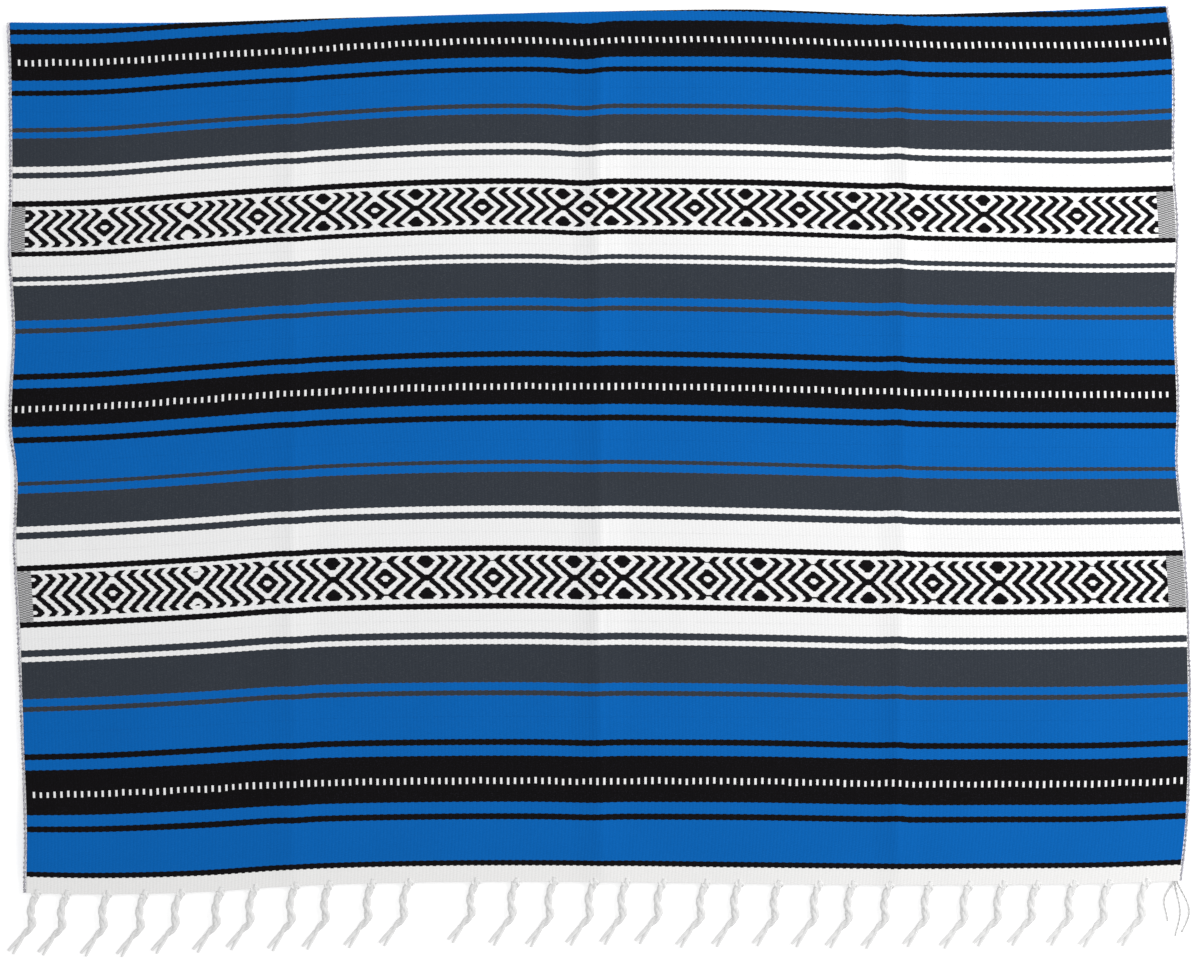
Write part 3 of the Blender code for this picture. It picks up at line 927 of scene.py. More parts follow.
def weave_relief(finishes: list[bpy.types.Material]) -> GeometryTool:
    """Tree that raises the ribs of the warp, evens them out of true and sets each yarn's finish.

    Args:
        finishes: Materials in the order of Yarn.

    Returns:
        The tool.
    """
    tool, graph, start = GeometryTool.start("weave relief", {
        "Rib height": ("NodeSocketFloat", 0.00025),
        "Unevenness": ("NodeSocketFloat", 0.00015),
        "Seed": ("NodeSocketFloat", 3.0),
    })
    end, along = graph.attribute("end", "FLOAT"), graph.attribute("along", "FLOAT")
    outward = graph.attribute("outward", "FLOAT_VECTOR")
    rib = graph.math("ABSOLUTE", graph.math("SINE", graph.math("MULTIPLY", end, math.pi)))
    place = graph.add("ShaderNodeCombineXYZ", {
        0: graph.math("MULTIPLY", end, 0.45), 1: graph.math("MULTIPLY", along, 0.06)})
    noise = graph.add("ShaderNodeTexNoise", {
        "Vector": place.outputs[0], "W": start.outputs["Seed"], "Scale": 1.0, "Detail": 3.0},
        noise_dimensions="4D")
    stray = graph.math("MULTIPLY", graph.math("SUBTRACT", noise.outputs[0], 0.5),
                       start.outputs["Unevenness"])
    height = graph.math("MULTIPLY_ADD", graph.math("SUBTRACT", rib, 1.0), start.outputs["Rib height"],
                        graph.math("MULTIPLY", stray, 2.0))
    moved = graph.add("GeometryNodeSetPosition", {
        "Geometry": start.outputs["Geometry"], "Offset": graph.scaled(outward, height)})
    whole = graph.add("GeometryNodeRealizeInstances", {0: moved.outputs[0]}).outputs[0]
    number = graph.attribute("yarn", "INT")
    for index, finish in enumerate(finishes):
        chosen = graph.add("FunctionNodeCompare", {2: number, 3: index}, data_type="INT",
                           operation="EQUAL").outputs[0]
        whole = graph.add("GeometryNodeSetMaterial", {
            "Geometry": whole, "Selection": chosen, "Material": finish}).outputs[0]
    tool.close(graph, whole)
    return tool


# ---------------------------------------------------------------------------------------------
# Pieces of the web
# ---------------------------------------------------------------------------------------------


@dataclass(frozen=True)
class WebPieceSize:
    """Reach and fineness of one piece of the web.

    Attributes:
        low: First place along the warp.
        high: Last place along the warp.
        columns_per_end: Mesh columns for each warp end of the outer face.
        pace: Widest gap between mesh rows in the plain stripes.
        fine: Whether teeth, dashes and figures get mesh rows of their own.
        inner_pace: Widest gap between rows of the inner face.
        inner_step: Columns of the outer face for each column of the inner one.
    """

    low: float
    high: float
    columns_per_end: int = 3
    pace: float = 18.0
    fine: bool = True
    inner_pace: float = 12.0
    inner_step: int = 6


def store(mesh: bpy.types.Mesh, name: str, kind: str, domain: str, values: np.ndarray) -> None:
    """Store an attribute on a mesh."""
    made = mesh.attributes.new(name, kind, domain)
    key = "vector" if kind == "FLOAT_VECTOR" else "value"
    made.data.foreach_set(key, np.ascontiguousarray(values).ravel())


class WebPiece:
    """One closed piece of the web, between two places along the warp."""

    def __init__(self, name: str, size: WebPieceSize, cloth: FoldedCloth, order: WeaveOrder) -> None:
        """Keep the piece's size and what it is cut from."""
        self.name = name
        self.size = size
        self.cloth = cloth
        self.order = order
        self.first_wall = 0
        self.yarn: list[int] = []
        self.weave_uv: list[tuple[float, float]] = []
        self.bake_uv: list[tuple[float, float]] = []

    def build(self, relief: GeometryTool) -> bpy.types.Object:
        """Make the piece.

        Args:
            relief: Tool that raises the ribs and sets the finishes.

        Returns:
            The finished piece.
        """
        size, cloth = self.size, self.cloth
        count = cloth.warp_ends * size.columns_per_end
        fraction = np.arange(count + 1) / count
        end = fraction * cloth.warp_ends
        rows = self.order.rows(size.low, size.high, size.pace, size.fine)
        half = 0.5 * cloth.form.thickness
        outer, outward = cloth.place(fraction, rows, np.full((len(rows), count + 1), half))
        kept_rows = self._inner_rows(rows)
        kept_columns = np.arange(0, count + 1, size.inner_step)
        inner, _ = cloth.place(fraction[kept_columns], rows[kept_rows],
                               np.full((len(kept_rows), len(kept_columns)), -half))
        faces = self._faces(rows, end, kept_rows, kept_columns)
        points = np.concatenate((outer.reshape(-1, 3), inner.reshape(-1, 3))) * MM
        mesh = bpy.data.meshes.new(self.name)
        mesh.from_pydata(points.tolist(), [], faces)
        still = np.zeros((len(points), 3))
        still[:outer.shape[0] * outer.shape[1]] = outward.reshape(-1, 3)
        ends = np.concatenate((np.tile(end, len(rows)), np.tile(end[kept_columns], len(kept_rows))))
        places = np.concatenate((np.repeat(rows, count + 1),
                                 np.repeat(rows[kept_rows], len(kept_columns))))
        store(mesh, "outward", "FLOAT_VECTOR", "POINT", still)
        store(mesh, "end", "FLOAT", "POINT", ends)
        store(mesh, "along", "FLOAT", "POINT", places)
        store(mesh, "yarn", "INT", "FACE", np.array(self.yarn, dtype=np.int32))
        for label, values in (("weave", self.weave_uv), ("OFBake", self.bake_uv)):
            layer = mesh.uv_layers.new(name=label)
            layer.data.foreach_set("uv", np.concatenate(values).ravel())
        smooth = np.ones(len(faces), dtype=bool)
        smooth[self.first_wall:] = False
        mesh.polygons.foreach_set("use_smooth", smooth)
        piece = bpy.data.objects.new(self.name, mesh)
        bpy.context.scene.collection.objects.link(piece)
        relief.shape(piece, {"Rib height": 0.00018, "Unevenness": 0.00012, "Seed": float(SEED)})
        for label in ("outward", "end", "along", "yarn"):
            found = piece.data.attributes.get(label)
            if found is not None:
                piece.data.attributes.remove(found)
        return piece

    def _inner_rows(self, rows: np.ndarray) -> np.ndarray:
        """Rows of the outer face that the inner face keeps."""
        kept = [0]
        changes = self.order.changes(self.size.low, self.size.high)
        for index in range(1, len(rows) - 1):
            gap = rows[index] - rows[kept[-1]]
            by_change = any(abs(rows[index] - place + 0.2) < 0.05 for place in changes)
            if gap >= self.size.inner_pace or by_change:
                kept.append(index)
        kept.append(len(rows) - 1)
        return np.array(kept)

    def _faces(self, rows: np.ndarray, end: np.ndarray, kept_rows: np.ndarray,
               kept_columns: np.ndarray) -> list[list[int]]:
        """Faces of the piece, with their yarns and UVs kept for the mesh.

        Args:
            rows: Places of the outer rows.
            end: Warp ends of the outer columns.
            kept_rows: Outer rows that the inner face keeps.
            kept_columns: Outer columns that the inner face keeps.

        Returns:
            Corners of each face.
        """
        wide, tall = len(end), len(rows)
        low, high = rows[0], rows[-1]
        i, j = np.meshgrid(np.arange(tall - 1), np.arange(wide - 1), indexing="ij")
        a = (i * wide + j).ravel()
        quads = np.stack((a, a + wide, a + wide + 1, a + 1), axis=1)
        strips = max(int(round(math.sqrt(WEB_WIDTH / (1.1 * (high - low))))), 1)
        width = int(math.ceil((wide - 1) / strips))
        strip = np.minimum(j.ravel() // width, strips - 1)
        corner_end = np.stack((end[j], end[j], end[j + 1], end[j + 1]), axis=-1).reshape(-1, 4)
        corner_row = np.stack((rows[i], rows[i + 1], rows[i + 1], rows[i]), axis=-1).reshape(-1, 4)
        first = end[strip * width][:, None]
        reach = end[width] - end[0]
        u = 0.004 + 0.99 * (corner_end - first) / reach
        v = (strip[:, None] + 0.02 + 0.96 * (corner_row - low) / (high - low)) / strips * 0.9
        self.weave_uv = [np.stack((corner_end, corner_row), axis=-1).reshape(-1, 2)]
        self.bake_uv = [np.stack((u, v), axis=-1).reshape(-1, 2)]
        centre_end = corner_end.mean(axis=1)
        centre_row = corner_row.mean(axis=1)
        self.yarn = list(self.order.yarn_at(centre_end, centre_row))
        faces = quads.tolist()
        faces += self._inner_faces(rows, end, kept_rows, kept_columns)
        self.first_wall = len(faces)
        under = tall * wide
        narrow = len(kept_columns)
        last_row = (len(kept_rows) - 1) * narrow
        for side in range(4):
            if side < 2:
                row = 0 if side == 0 else tall - 1
                base = under if side == 0 else under + last_row
                spans = [(kept_columns[k], kept_columns[k + 1]) for k in range(narrow - 1)]
                for k, (start, stop) in enumerate(spans):
                    fine = [row * wide + column for column in range(start, stop + 1)]
                    face = fine + [base + k + 1, base + k]
                    self._wall(faces, face if side == 0 else face[::-1], side, start / (wide - 1),
                               end[start], rows[row])
            else:
                column = 0 if side == 2 else wide - 1
                base = under if side == 2 else under + narrow - 1
                for k in range(len(kept_rows) - 1):
                    start, stop = kept_rows[k], kept_rows[k + 1]
                    fine = [row * wide + column for row in range(start, stop + 1)]
                    face = fine + [base + (k + 1) * narrow, base + k * narrow]
                    self._wall(faces, face[::-1] if side == 2 else face, side,
                               (rows[start] - low) / (high - low), end[column], rows[start])
        return faces

    def _inner_faces(self, rows: np.ndarray, end: np.ndarray, kept_rows: np.ndarray,
                     kept_columns: np.ndarray) -> list[list[int]]:
        """Faces of the inner side, which look the other way."""
        narrow, low, high = len(kept_columns), rows[0], rows[-1]
        under = len(rows) * len(end)
        i, j = np.meshgrid(np.arange(len(kept_rows) - 1), np.arange(narrow - 1), indexing="ij")
        a = under + (i * narrow + j).ravel()
        quads = np.stack((a, a + 1, a + narrow + 1, a + narrow), axis=1)
        row, column = rows[kept_rows], end[kept_columns]
        corner_end = np.stack((column[j], column[j + 1], column[j + 1], column[j]), axis=-1)
        corner_row = np.stack((row[i], row[i], row[i + 1], row[i + 1]), axis=-1)
        corner_end, corner_row = corner_end.reshape(-1, 4), corner_row.reshape(-1, 4)
        u = 0.002 + 0.996 * corner_end / end[-1]
        v = 0.905 + 0.085 * (corner_row - low) / (high - low)
        self.weave_uv.append(np.stack((corner_end, corner_row), axis=-1).reshape(-1, 2))
        self.bake_uv.append(np.stack((u, v), axis=-1).reshape(-1, 2))
        centre = np.floor(corner_end.mean(axis=1)) + 0.5
        self.yarn += list(self.order.yarn_at(centre, corner_row.mean(axis=1)))
        return quads.tolist()

    def _wall(self, faces: list[list[int]], face: list[int], side: int, start: float, end: float,
              along: float) -> None:
        """Add one face of the wall between the outer and the inner side."""
        faces.append([int(corner) for corner in face])
        step = 0.5 * self.size.inner_step / (self.cloth.warp_ends * self.size.columns_per_end)
        turn = [2.0 * math.pi * k / len(face) for k in range(len(face))]
        base = 0.9925 + 0.0018 * side
        spot = [(min(0.001 + 0.996 * start + 0.4 * step * (1.0 + math.cos(t)), 0.999),
                 base + 0.0006 * (1.0 + math.sin(t))) for t in turn]
        self.bake_uv.append(np.array(spot))
        self.weave_uv.append(np.array([(end, along)] * len(face)))
        middle = min(max(along, self.order.edges[0] + 0.5), self.order.edges[-1] - 0.5)
        self.yarn.append(int(self.order.yarn_at(np.array([end]), np.array([middle]))[0]))


# ---------------------------------------------------------------------------------------------
# Selvedges and fringe
# ---------------------------------------------------------------------------------------------


def cord_tree() -> GeometryTool:
    """Tree that lays two plies round a guide line, each with its strands, and sets their finishes.

    Returns:
        The tool.
    """
    tool, graph, start = GeometryTool.start("two-ply cord", {
        "Profile points": ("NodeSocketInt", 16),
        "Strands": ("NodeSocketInt", 4),
        "Strand height": ("NodeSocketFloat", 0.10),
        "Strand turns": ("NodeSocketFloat", 1.6),
        "First ply": ("NodeSocketMaterial", None),
        "Second ply": ("NodeSocketMaterial", None),
    })
    across, outward = graph.attribute("across", "FLOAT_VECTOR"), graph.attribute("outward",
                                                                                 "FLOAT_VECTOR")
    turn, apart = graph.attribute("turn", "FLOAT"), graph.attribute("apart", "FLOAT")
    thick, flat = graph.attribute("thick", "FLOAT"), graph.attribute("flat", "FLOAT")
    ring = graph.add("GeometryNodeCurvePrimitiveCircle", {
        "Resolution": start.outputs["Profile points"], "Radius": 1.0}).outputs[0]
    factor = graph.add("GeometryNodeSplineParameter").outputs["Factor"]
    lobes = graph.math("MULTIPLY", factor, start.outputs["Strands"])
    wave = graph.math("COSINE", graph.math("MULTIPLY", lobes, 2.0 * math.pi))
    # Crown of the strands round the profile, stored for the cord finish's bump and its painted shade
    # in the hollows.
    crown = graph.math("MULTIPLY_ADD", wave, 0.5, 0.5)
    ring = graph.add("GeometryNodeStoreNamedAttribute", {
        "Geometry": ring, "Name": "crown", "Value": crown}, data_type="FLOAT",
        domain="POINT").outputs[0]
    grown = graph.math("MULTIPLY_ADD", wave, start.outputs["Strand height"], 1.0)
    here = graph.add("GeometryNodeInputPosition").outputs[0]
    ring = graph.add("GeometryNodeSetPosition", {
        "Geometry": ring, "Position": graph.scaled(here, grown)}).outputs[0]
    plies = []
    for phase, label in ((0.0, "First ply"), (math.pi, "Second ply")):
        angle = graph.math("ADD", turn, phase)
        beside = graph.scaled(across, graph.math("MULTIPLY", apart, graph.math("COSINE", angle)))
        over = graph.math("MULTIPLY", graph.math("MULTIPLY", apart, flat),
                          graph.math("SINE", angle))
        offset = graph.vector_math("ADD", beside, graph.scaled(outward, over))
        line = graph.add("GeometryNodeSetPosition", {
            "Geometry": start.outputs["Geometry"], "Offset": offset}).outputs[0]
        line = graph.add("GeometryNodeMeshToCurve", {0: line}).outputs[0]
        tilt = graph.math("MULTIPLY", turn, start.outputs["Strand turns"])
        line = graph.add("GeometryNodeSetCurveTilt", {"Curve": line, "Tilt": tilt}).outputs[0]
        ply = graph.add("GeometryNodeCurveToMesh", {
            "Curve": line, "Profile Curve": ring, "Scale": thick, "Fill Caps": True}).outputs[0]
        ply = graph.add("GeometryNodeSetShadeSmooth", {"Geometry": ply}).outputs[0]
        ply = graph.add("GeometryNodeRealizeInstances", {0: ply}).outputs[0]
        plies.append(graph.add("GeometryNodeSetMaterial", {
            "Geometry": ply, "Material": start.outputs[label]}).outputs[0])
    joined = graph.add("GeometryNodeJoinGeometry")
    for ply in reversed(plies):
        graph.tree.links.new(ply, joined.inputs[0])
    tool.close(graph, joined.outputs[0])
    return tool


@dataclass
class CordGuide:
    """Guide lines of cords, each with its lay.

    Attributes:
        points: Places of the guide points, in millimetres.
        edges: Pairs of neighbouring points.
        across: Level direction across the cord at each point.
        outward: Direction off the cloth or the floor at each point.
        turn: Angle of the plies at each point.
        apart: Distance of a ply from the middle of the cord, in millimetres.
        thick: Radius of a ply, in millimetres.
        flat: Height of the cord's lay against its width.
    """

    points: list[np.ndarray] = field(default_factory=list)
    edges: list[tuple[int, int]] = field(default_factory=list)
    across: list[np.ndarray] = field(default_factory=list)
    outward: list[np.ndarray] = field(default_factory=list)
    turn: list[float] = field(default_factory=list)
    apart: list[float] = field(default_factory=list)
    thick: list[float] = field(default_factory=list)
    flat: list[float] = field(default_factory=list)

    def add(self, points: np.ndarray, across: np.ndarray, outward: np.ndarray, turn: np.ndarray,
            apart: np.ndarray, thick: np.ndarray, flat: float) -> None:
        """Add one guide line.

        Args:
            points: Places along the line.
            across: Level directions across it.
            outward: Directions off what it lies on.
            turn: Angles of the plies.
            apart: Distances of a ply from the middle.
            thick: Radii of a ply.
            flat: Height of the lay against its width.
        """
        start = len(self.points)
        count = len(points)
        self.points += list(points)
        self.edges += [(start + i, start + i + 1) for i in range(count - 1)]
        self.across += list(across)
        self.outward += list(outward)
        self.turn += list(turn)
        self.apart += list(apart)
        self.thick += list(thick)
        self.flat += [flat] * count

    def build(self, name: str, tool: GeometryTool, values: dict[str, object]) -> bpy.types.Object:
        """Make the cords as one piece.

        Args:
            name: Name of the piece.
            tool: The cord tree.
            values: Values for the tree's named inputs.

        Returns:
            The finished piece.
        """
        mesh = bpy.data.meshes.new(name)
        mesh.from_pydata((np.array(self.points) * MM).tolist(), self.edges, [])
        store(mesh, "across", "FLOAT_VECTOR", "POINT", np.array(self.across))
        store(mesh, "outward", "FLOAT_VECTOR", "POINT", np.array(self.outward))
        store(mesh, "turn", "FLOAT", "POINT", np.array(self.turn))
        store(mesh, "apart", "FLOAT", "POINT", np.array(self.apart) * MM)
        store(mesh, "thick", "FLOAT", "POINT", np.array(self.thick) * MM)
        store(mesh, "flat", "FLOAT", "POINT", np.array(self.flat))
        piece = bpy.data.objects.new(name, mesh)
        bpy.context.scene.collection.objects.link(piece)
        tool.shape(piece, values)
        for label in ("across", "outward", "turn", "apart", "thick", "flat"):
            found = piece.data.attributes.get(label)
            if found is not None:
                piece.data.attributes.remove(found)
        return piece


def level_across(points: np.ndarray) -> np.ndarray:
    """Level unit directions across a line of points."""
    ahead = np.gradient(points, axis=0)
    across = np.stack((-ahead[:, 1], ahead[:, 0], np.zeros(len(points))), axis=1)
    length = np.maximum(np.linalg.norm(across, axis=1), 1e-9)
    return across / length[:, None]


@dataclass(frozen=True)
class Selvedge:
    """Doubled warps along one side, laid as a flattened two-ply cord.

    Attributes:
        side: "left" or "right".
        apart: Distance of a ply from the middle of the cord.
        thick: Radius of a ply.
        flat: Height of the lay against its width.
        turn_length: Length of one turn of the plies.
        seed: Seed of the small unevenness.
    """

    side: str
    apart: float = 1.05
    thick: float = 1.1
    flat: float = 0.3
    turn_length: float = 11.0
    seed: int = 5

    def build(self, cloth: FoldedCloth, order: WeaveOrder, tool: GeometryTool,
              plies: tuple[bpy.types.Material, bpy.types.Material]) -> bpy.types.Object:
        """Make the selvedge.

        Args:
            cloth: The folded cloth that it edges.
            order: The weave, for its two ends.
            tool: The cord tree.
            plies: Materials of the two plies.

        Returns:
            The finished piece.
        """
        width = 1285.0
        fraction = -2.2 / width if self.side == "left" else 1.0 + 2.2 / width
        top, bottom = order.edges[-1], order.edges[0]
        along = np.concatenate((
            np.arange(bottom, -62.0, 5.0), np.arange(-62.0, -24.0, 0.9), np.arange(-24.0, top, 2.8)))
        points, outward = cloth.place(np.array([fraction]), along, np.zeros((len(along), 1)))
        points, outward = points[:, 0, :], outward[:, 0, :]
        low = self.thick + self.apart * self.flat
        points[:, 2] = np.maximum(points[:, 2], low)
        noise = random.Random(self.seed)
        knots = np.array([noise.uniform(-1.0, 1.0) for _ in range(80)])
        stray = np.interp(along, np.linspace(along[0], along[-1], 80), knots)
        points[:, 0] += 0.35 * stray
        across = np.tile(np.array([1.0, 0.0, 0.0]), (len(along), 1))
        turn = 2.0 * math.pi * along / self.turn_length + 0.8 * stray
        guide = CordGuide()
        guide.add(points, across, outward, turn, np.full(len(along), self.apart),
                  self.thick * (1.0 + 0.08 * stray), self.flat)
        return guide.build("selvedge_" + self.side + "_cord", tool, {
            "Profile points": 12, "Strands": 3, "Strand height": 0.08, "Strand turns": 1.5,
            "First ply": plies[0], "Second ply": plies[1]})


# Middles of the tassels along the upper hem, as knotted by hand, unevenly spaced.
TASSEL_X = (
    -613.0, -580.0, -536.0, -495.0, -456.0, -412.0, -375.0, -331.0, -294.0, -247.0, -207.0,
    -134.0, -90.0, -49.0, -5.0, 30.0, 70.0, 117.0, 153.0, 196.0, 240.0, 277.0, 317.0, 361.0, 404.0,
    441.0, 478.0, 518.0, 556.0, 597.0,
)
# Run of a tassel from its knot: step along X, step towards the near side, radius of a ply.
TASSEL_RUN = (
    (1.0, -5.0, 2.3), (0.0, 0.0, 2.7), (-3.3, 7.6, 3.3), (-5.6, 14.5, 3.4), (-6.4, 24.0, 3.4),
    (-4.6, 33.0, 3.6), (-5.6, 38.5, 3.2), (-13.0, 46.0, 2.6), (-20.8, 56.7, 2.5),
    (-24.0, 61.0, 2.3), (-28.4, 67.6, 2.1),
)


@dataclass(frozen=True)
class Fringe:
    """Row of knotted tassels at one hem.

    Attributes:
        name: Name of the piece.
        flat: Height of the lay against its width.
        size: Thickness of the tassels against that of the upper ones.
        reach: Length of the tassels against that of the upper ones.
        seed: Seed of the small differences between tassels.
        profile: Points round a ply.
        step: Length between guide points.
    """

    name: str
    flat: float
    size: float
    reach: float
    seed: int
    profile: int
    step: float

    def run_points(self, turn: float, length: float) -> tuple[np.ndarray, np.ndarray]:
        """Smooth run of a tassel.

        Args:
            turn: Angle in radians by which the tassel is turned about its knot.
            length: Length against the usual one.

        Returns:
            Steps from the knot along X and Y, and the radius of a ply at each.
        """
        run = np.array(TASSEL_RUN)
        gaps = np.linalg.norm(np.diff(run[:, :2], axis=0), axis=1)
        station = np.concatenate(([0.0], np.cumsum(gaps)))
        places = np.arange(0.0, station[-1], self.step)
        smooth = hermite_weights(station, places) @ run
        x, y = smooth[:, 0] * length * self.reach, -smooth[:, 1] * length * self.reach
        cos, sin = math.cos(turn), math.sin(turn)
        return np.stack((x * cos - y * sin, x * sin + y * cos), axis=1), smooth[:, 2] * self.size

    def add_tassel(self, guide: CordGuide, root: np.ndarray, shift: float, noise: random.Random
                   ) -> None:
        """Add one tassel with its knots.

        Args:
            guide: Guide lines that the tassel is added to.
            root: Place of the knot at the hem.
            shift: How far the tip strays along X.
            noise: Source of the small differences.
        """
        length = noise.uniform(0.97, 1.03)
        steps, thick = self.run_points(noise.uniform(-0.03, 0.03) + shift, length)
        count = len(steps)
        share = np.arange(count) / (count - 1)
        apart = thick * 0.45
        rest = thick * (1.0 + 0.45 * self.flat)
        sink = np.exp(-np.arange(count) * self.step / 12.0)
        height = rest + (root[2] - rest) * sink
        points = np.stack((root[0] + steps[:, 0], root[1] + steps[:, 1],
                           np.maximum(height, rest)), axis=1)
        fork = np.clip((share - 0.8) / 0.2, 0.0, 1.0)
        apart = apart * (1.0 + 2.4 * fork)
        turns = 2.0 * math.pi / noise.uniform(25.0, 29.0)
        turn = turns * self.step * np.maximum(0.8 * (count - 1) - np.arange(count), 0.0)
        up = np.tile(np.array([0.0, 0.0, 1.0]), (count, 1))
        guide.add(points, level_across(points), up, turn, apart, thick * (1.0 - 0.2 * fork),
                  self.flat)

    def add_knot(self, guide: CordGuide, root: np.ndarray, size: float, angle: float) -> None:
        """Add an overhand knot, a trefoil of the cord drawn tight.

        Args:
            guide: Guide lines that the knot is added to.
            root: Middle of the knot.
            size: Half the width of the knot.
            angle: Turn of the knot about the vertical, in radians.
        """
        t = np.linspace(0.0, 2.0 * math.pi, 25)
        x = (np.sin(t) + 2.0 * np.sin(2.0 * t)) / 3.0 * size
        y = (np.cos(t) - 2.0 * np.cos(2.0 * t)) / 3.0 * size * 0.8
        z = -np.sin(3.0 * t) * size * 0.30
        cos, sin = math.cos(angle), math.sin(angle)
        points = np.stack((root[0] + x * cos - y * sin, root[1] + x * sin + y * cos,
                           root[2] + z), axis=1)
        thick = np.full(25, 0.36 * size)
        points[:, 2] = np.maximum(points[:, 2], thick * 1.35)
        up = np.tile(np.array([0.0, 0.0, 1.0]), (25, 1))
        guide.add(points, level_across(points), up, t * 2.0, thick * 0.55, thick * 0.8, self.flat)

    def build(self, roots: list[np.ndarray], loose: np.ndarray | None, tool: GeometryTool,
              finish: bpy.types.Material) -> bpy.types.Object:
        """Make the fringe.

        Args:
            roots: Places of the knots at the hem.
            loose: Place of the one tassel whose knot came undone, or nothing.
            tool: The cord tree.
            finish: Material of the cotton.

        Returns:
            The finished piece.
        """
        noise = random.Random(self.seed)
        guide = CordGuide()
        for root in roots:
            self.add_tassel(guide, root, 0.0, noise)
            self.add_knot(guide, root + np.array([-0.5, -1.5, 0.3]), 4.4 * self.size,
                          noise.uniform(-0.5, 0.5))
        if loose is not None:
            self.add_loose(guide, loose, noise)
        return guide.build(self.name, tool, {
            "Profile points": self.profile, "Strands": 4, "Strand height": 0.035,
            "Strand turns": -1.4, "First ply": finish, "Second ply": finish})

    def add_loose(self, guide: CordGuide, root: np.ndarray, noise: random.Random) -> None:
        """Add the strands of a tassel that came undone.

        Args:
            guide: Guide lines that the strands are added to.
            root: Place where the strands leave the hem.
            noise: Source of the small differences.
        """
        for tip_x, mid_x, reach in ((-9.0, -5.0, 44.0), (2.0, 3.5, 60.0), (9.0, 9.5, 56.0)):
            share = np.linspace(0.0, 1.0, 26)
            x = root[0] + mid_x * np.sin(share * math.pi) + tip_x * share
            x = x + 1.5 * np.sin(share * 7.0 + mid_x)
            y = root[1] + 4.0 - share * (reach + 4.0)
            z = 1.5 + (root[2] - 1.5) * np.exp(-share * 5.0)
            points = np.stack((x, y, z), axis=1)
            up = np.tile(np.array([0.0, 0.0, 1.0]), (26, 1))
            thick = np.full(26, 1.05) * (1.0 - 0.25 * share)
            turn = share * reach * 0.7 + noise.uniform(0.0, 6.0)
            guide.add(points, level_across(points), up, turn, thick * 0.8, thick, 0.5)


# ---------------------------------------------------------------------------------------------
# Studio
# ---------------------------------------------------------------------------------------------


@dataclass(frozen=True)
class Studio:
    """Pale floor, soft lights and the camera straight above.

    Attributes:
        camera_height: Height of the camera above the floor.
        target: X and Y of the point under the camera.
        lens: Focal length.
        ambient: Strength of the light from all round.
        key_power: Power of the large light on the fold's right.
        fill_power: Power of the light on the left.
    """

    camera_height: float = 3.094
    target: tuple[float, float] = (0.001, -0.0008)
    lens: float = 85.0
    ambient: float = 0.69
    key_power: float = 40.0
    fill_power: float = 6.0

    def floor(self) -> bpy.types.Object:
        """Make the floor.

        Returns:
            The floor.
        """
        mesh = bpy.data.meshes.new("floor")
        mesh.from_pydata([(-5, -5, 0), (5, -5, 0), (5, 5, 0), (-5, 5, 0)], [], [(0, 1, 2, 3)])
        floor = bpy.data.objects.new("floor", mesh)
        floor.location.z = -0.0006
        bpy.context.scene.collection.objects.link(floor)
        material = bpy.data.materials.new("pale floor")
        material.use_nodes = True
        shader = material.node_tree.nodes["Principled BSDF"]
        shader.inputs["Base Color"].default_value = (0.93, 0.93, 0.93, 1.0)
        shader.inputs["Roughness"].default_value = 1.0
        shader.inputs["Specular IOR Level"].default_value = 0.0
        shader.inputs["Emission Color"].default_value = (1.0, 1.0, 1.0, 1.0)
        shader.inputs["Emission Strength"].default_value = 0.3
        mesh.materials.append(material)
        return floor

    def lamp(self, name: str, power: float, size: float, place: tuple[float, float, float],
             tone: tuple[float, float, float]) -> None:
        """Hang one soft light that faces the cloth.

        Args:
            name: Name of the light.
            power: Power in watts.
            size: Width of the light.
            place: Place of the light.
            tone: Colour of the light.
        """
        light = bpy.data.lights.new(name, "AREA")
        light.energy = power
        light.size = size
        light.color = tone
        holder = bpy.data.objects.new(name, light)
        holder.location = place
        aim = -holder.location.normalized()
        holder.rotation_euler = aim.to_track_quat("-Z", "Y").to_euler()
        bpy.context.scene.collection.objects.link(holder)

    def build(self) -> bpy.types.Object:
        """Set the floor, the lights and the camera.

        Returns:
            The floor.
        """
        scene = bpy.context.scene
        scene.view_settings.view_transform = "Standard"
        world = scene.world or bpy.data.worlds.new("studio")
        scene.world = world
        world.use_nodes = True
        backdrop = next(node for node in world.node_tree.nodes if node.type == "BACKGROUND")
        backdrop.inputs["Color"].default_value = (1.0, 1.0, 1.0, 1.0)
        backdrop.inputs["Strength"].default_value = self.ambient
        self.lamp("key", self.key_power, 1.4, (1.9, 0.8, 1.6), (1.0, 0.995, 0.985))
        self.lamp("fill", self.fill_power, 2.0, (-1.8, 0.4, 2.4), (0.97, 0.985, 1.0))
        camera = bpy.data.cameras.new("camera")
        camera.lens = self.lens
        camera.sensor_width = 36.0
        camera.dof.use_dof = False
        holder = bpy.data.objects.new("camera", camera)
        holder.location = (*self.target, self.camera_height)
        scene.collection.objects.link(holder)
        scene.camera = holder
        return self.floor()


# ---------------------------------------------------------------------------------------------
# Whole serape
# ---------------------------------------------------------------------------------------------

# Where the upper half is cut into pieces along the warp, always inside a stripe of one colour.
UPPER_CUTS = (-12.0, 52.0, 138.0, 222.0, 317.0, 437.0, 538.0, 635.0, 739.0, 822.0)
LOWER_CUTS = (-600.0, -330.0, -62.0)


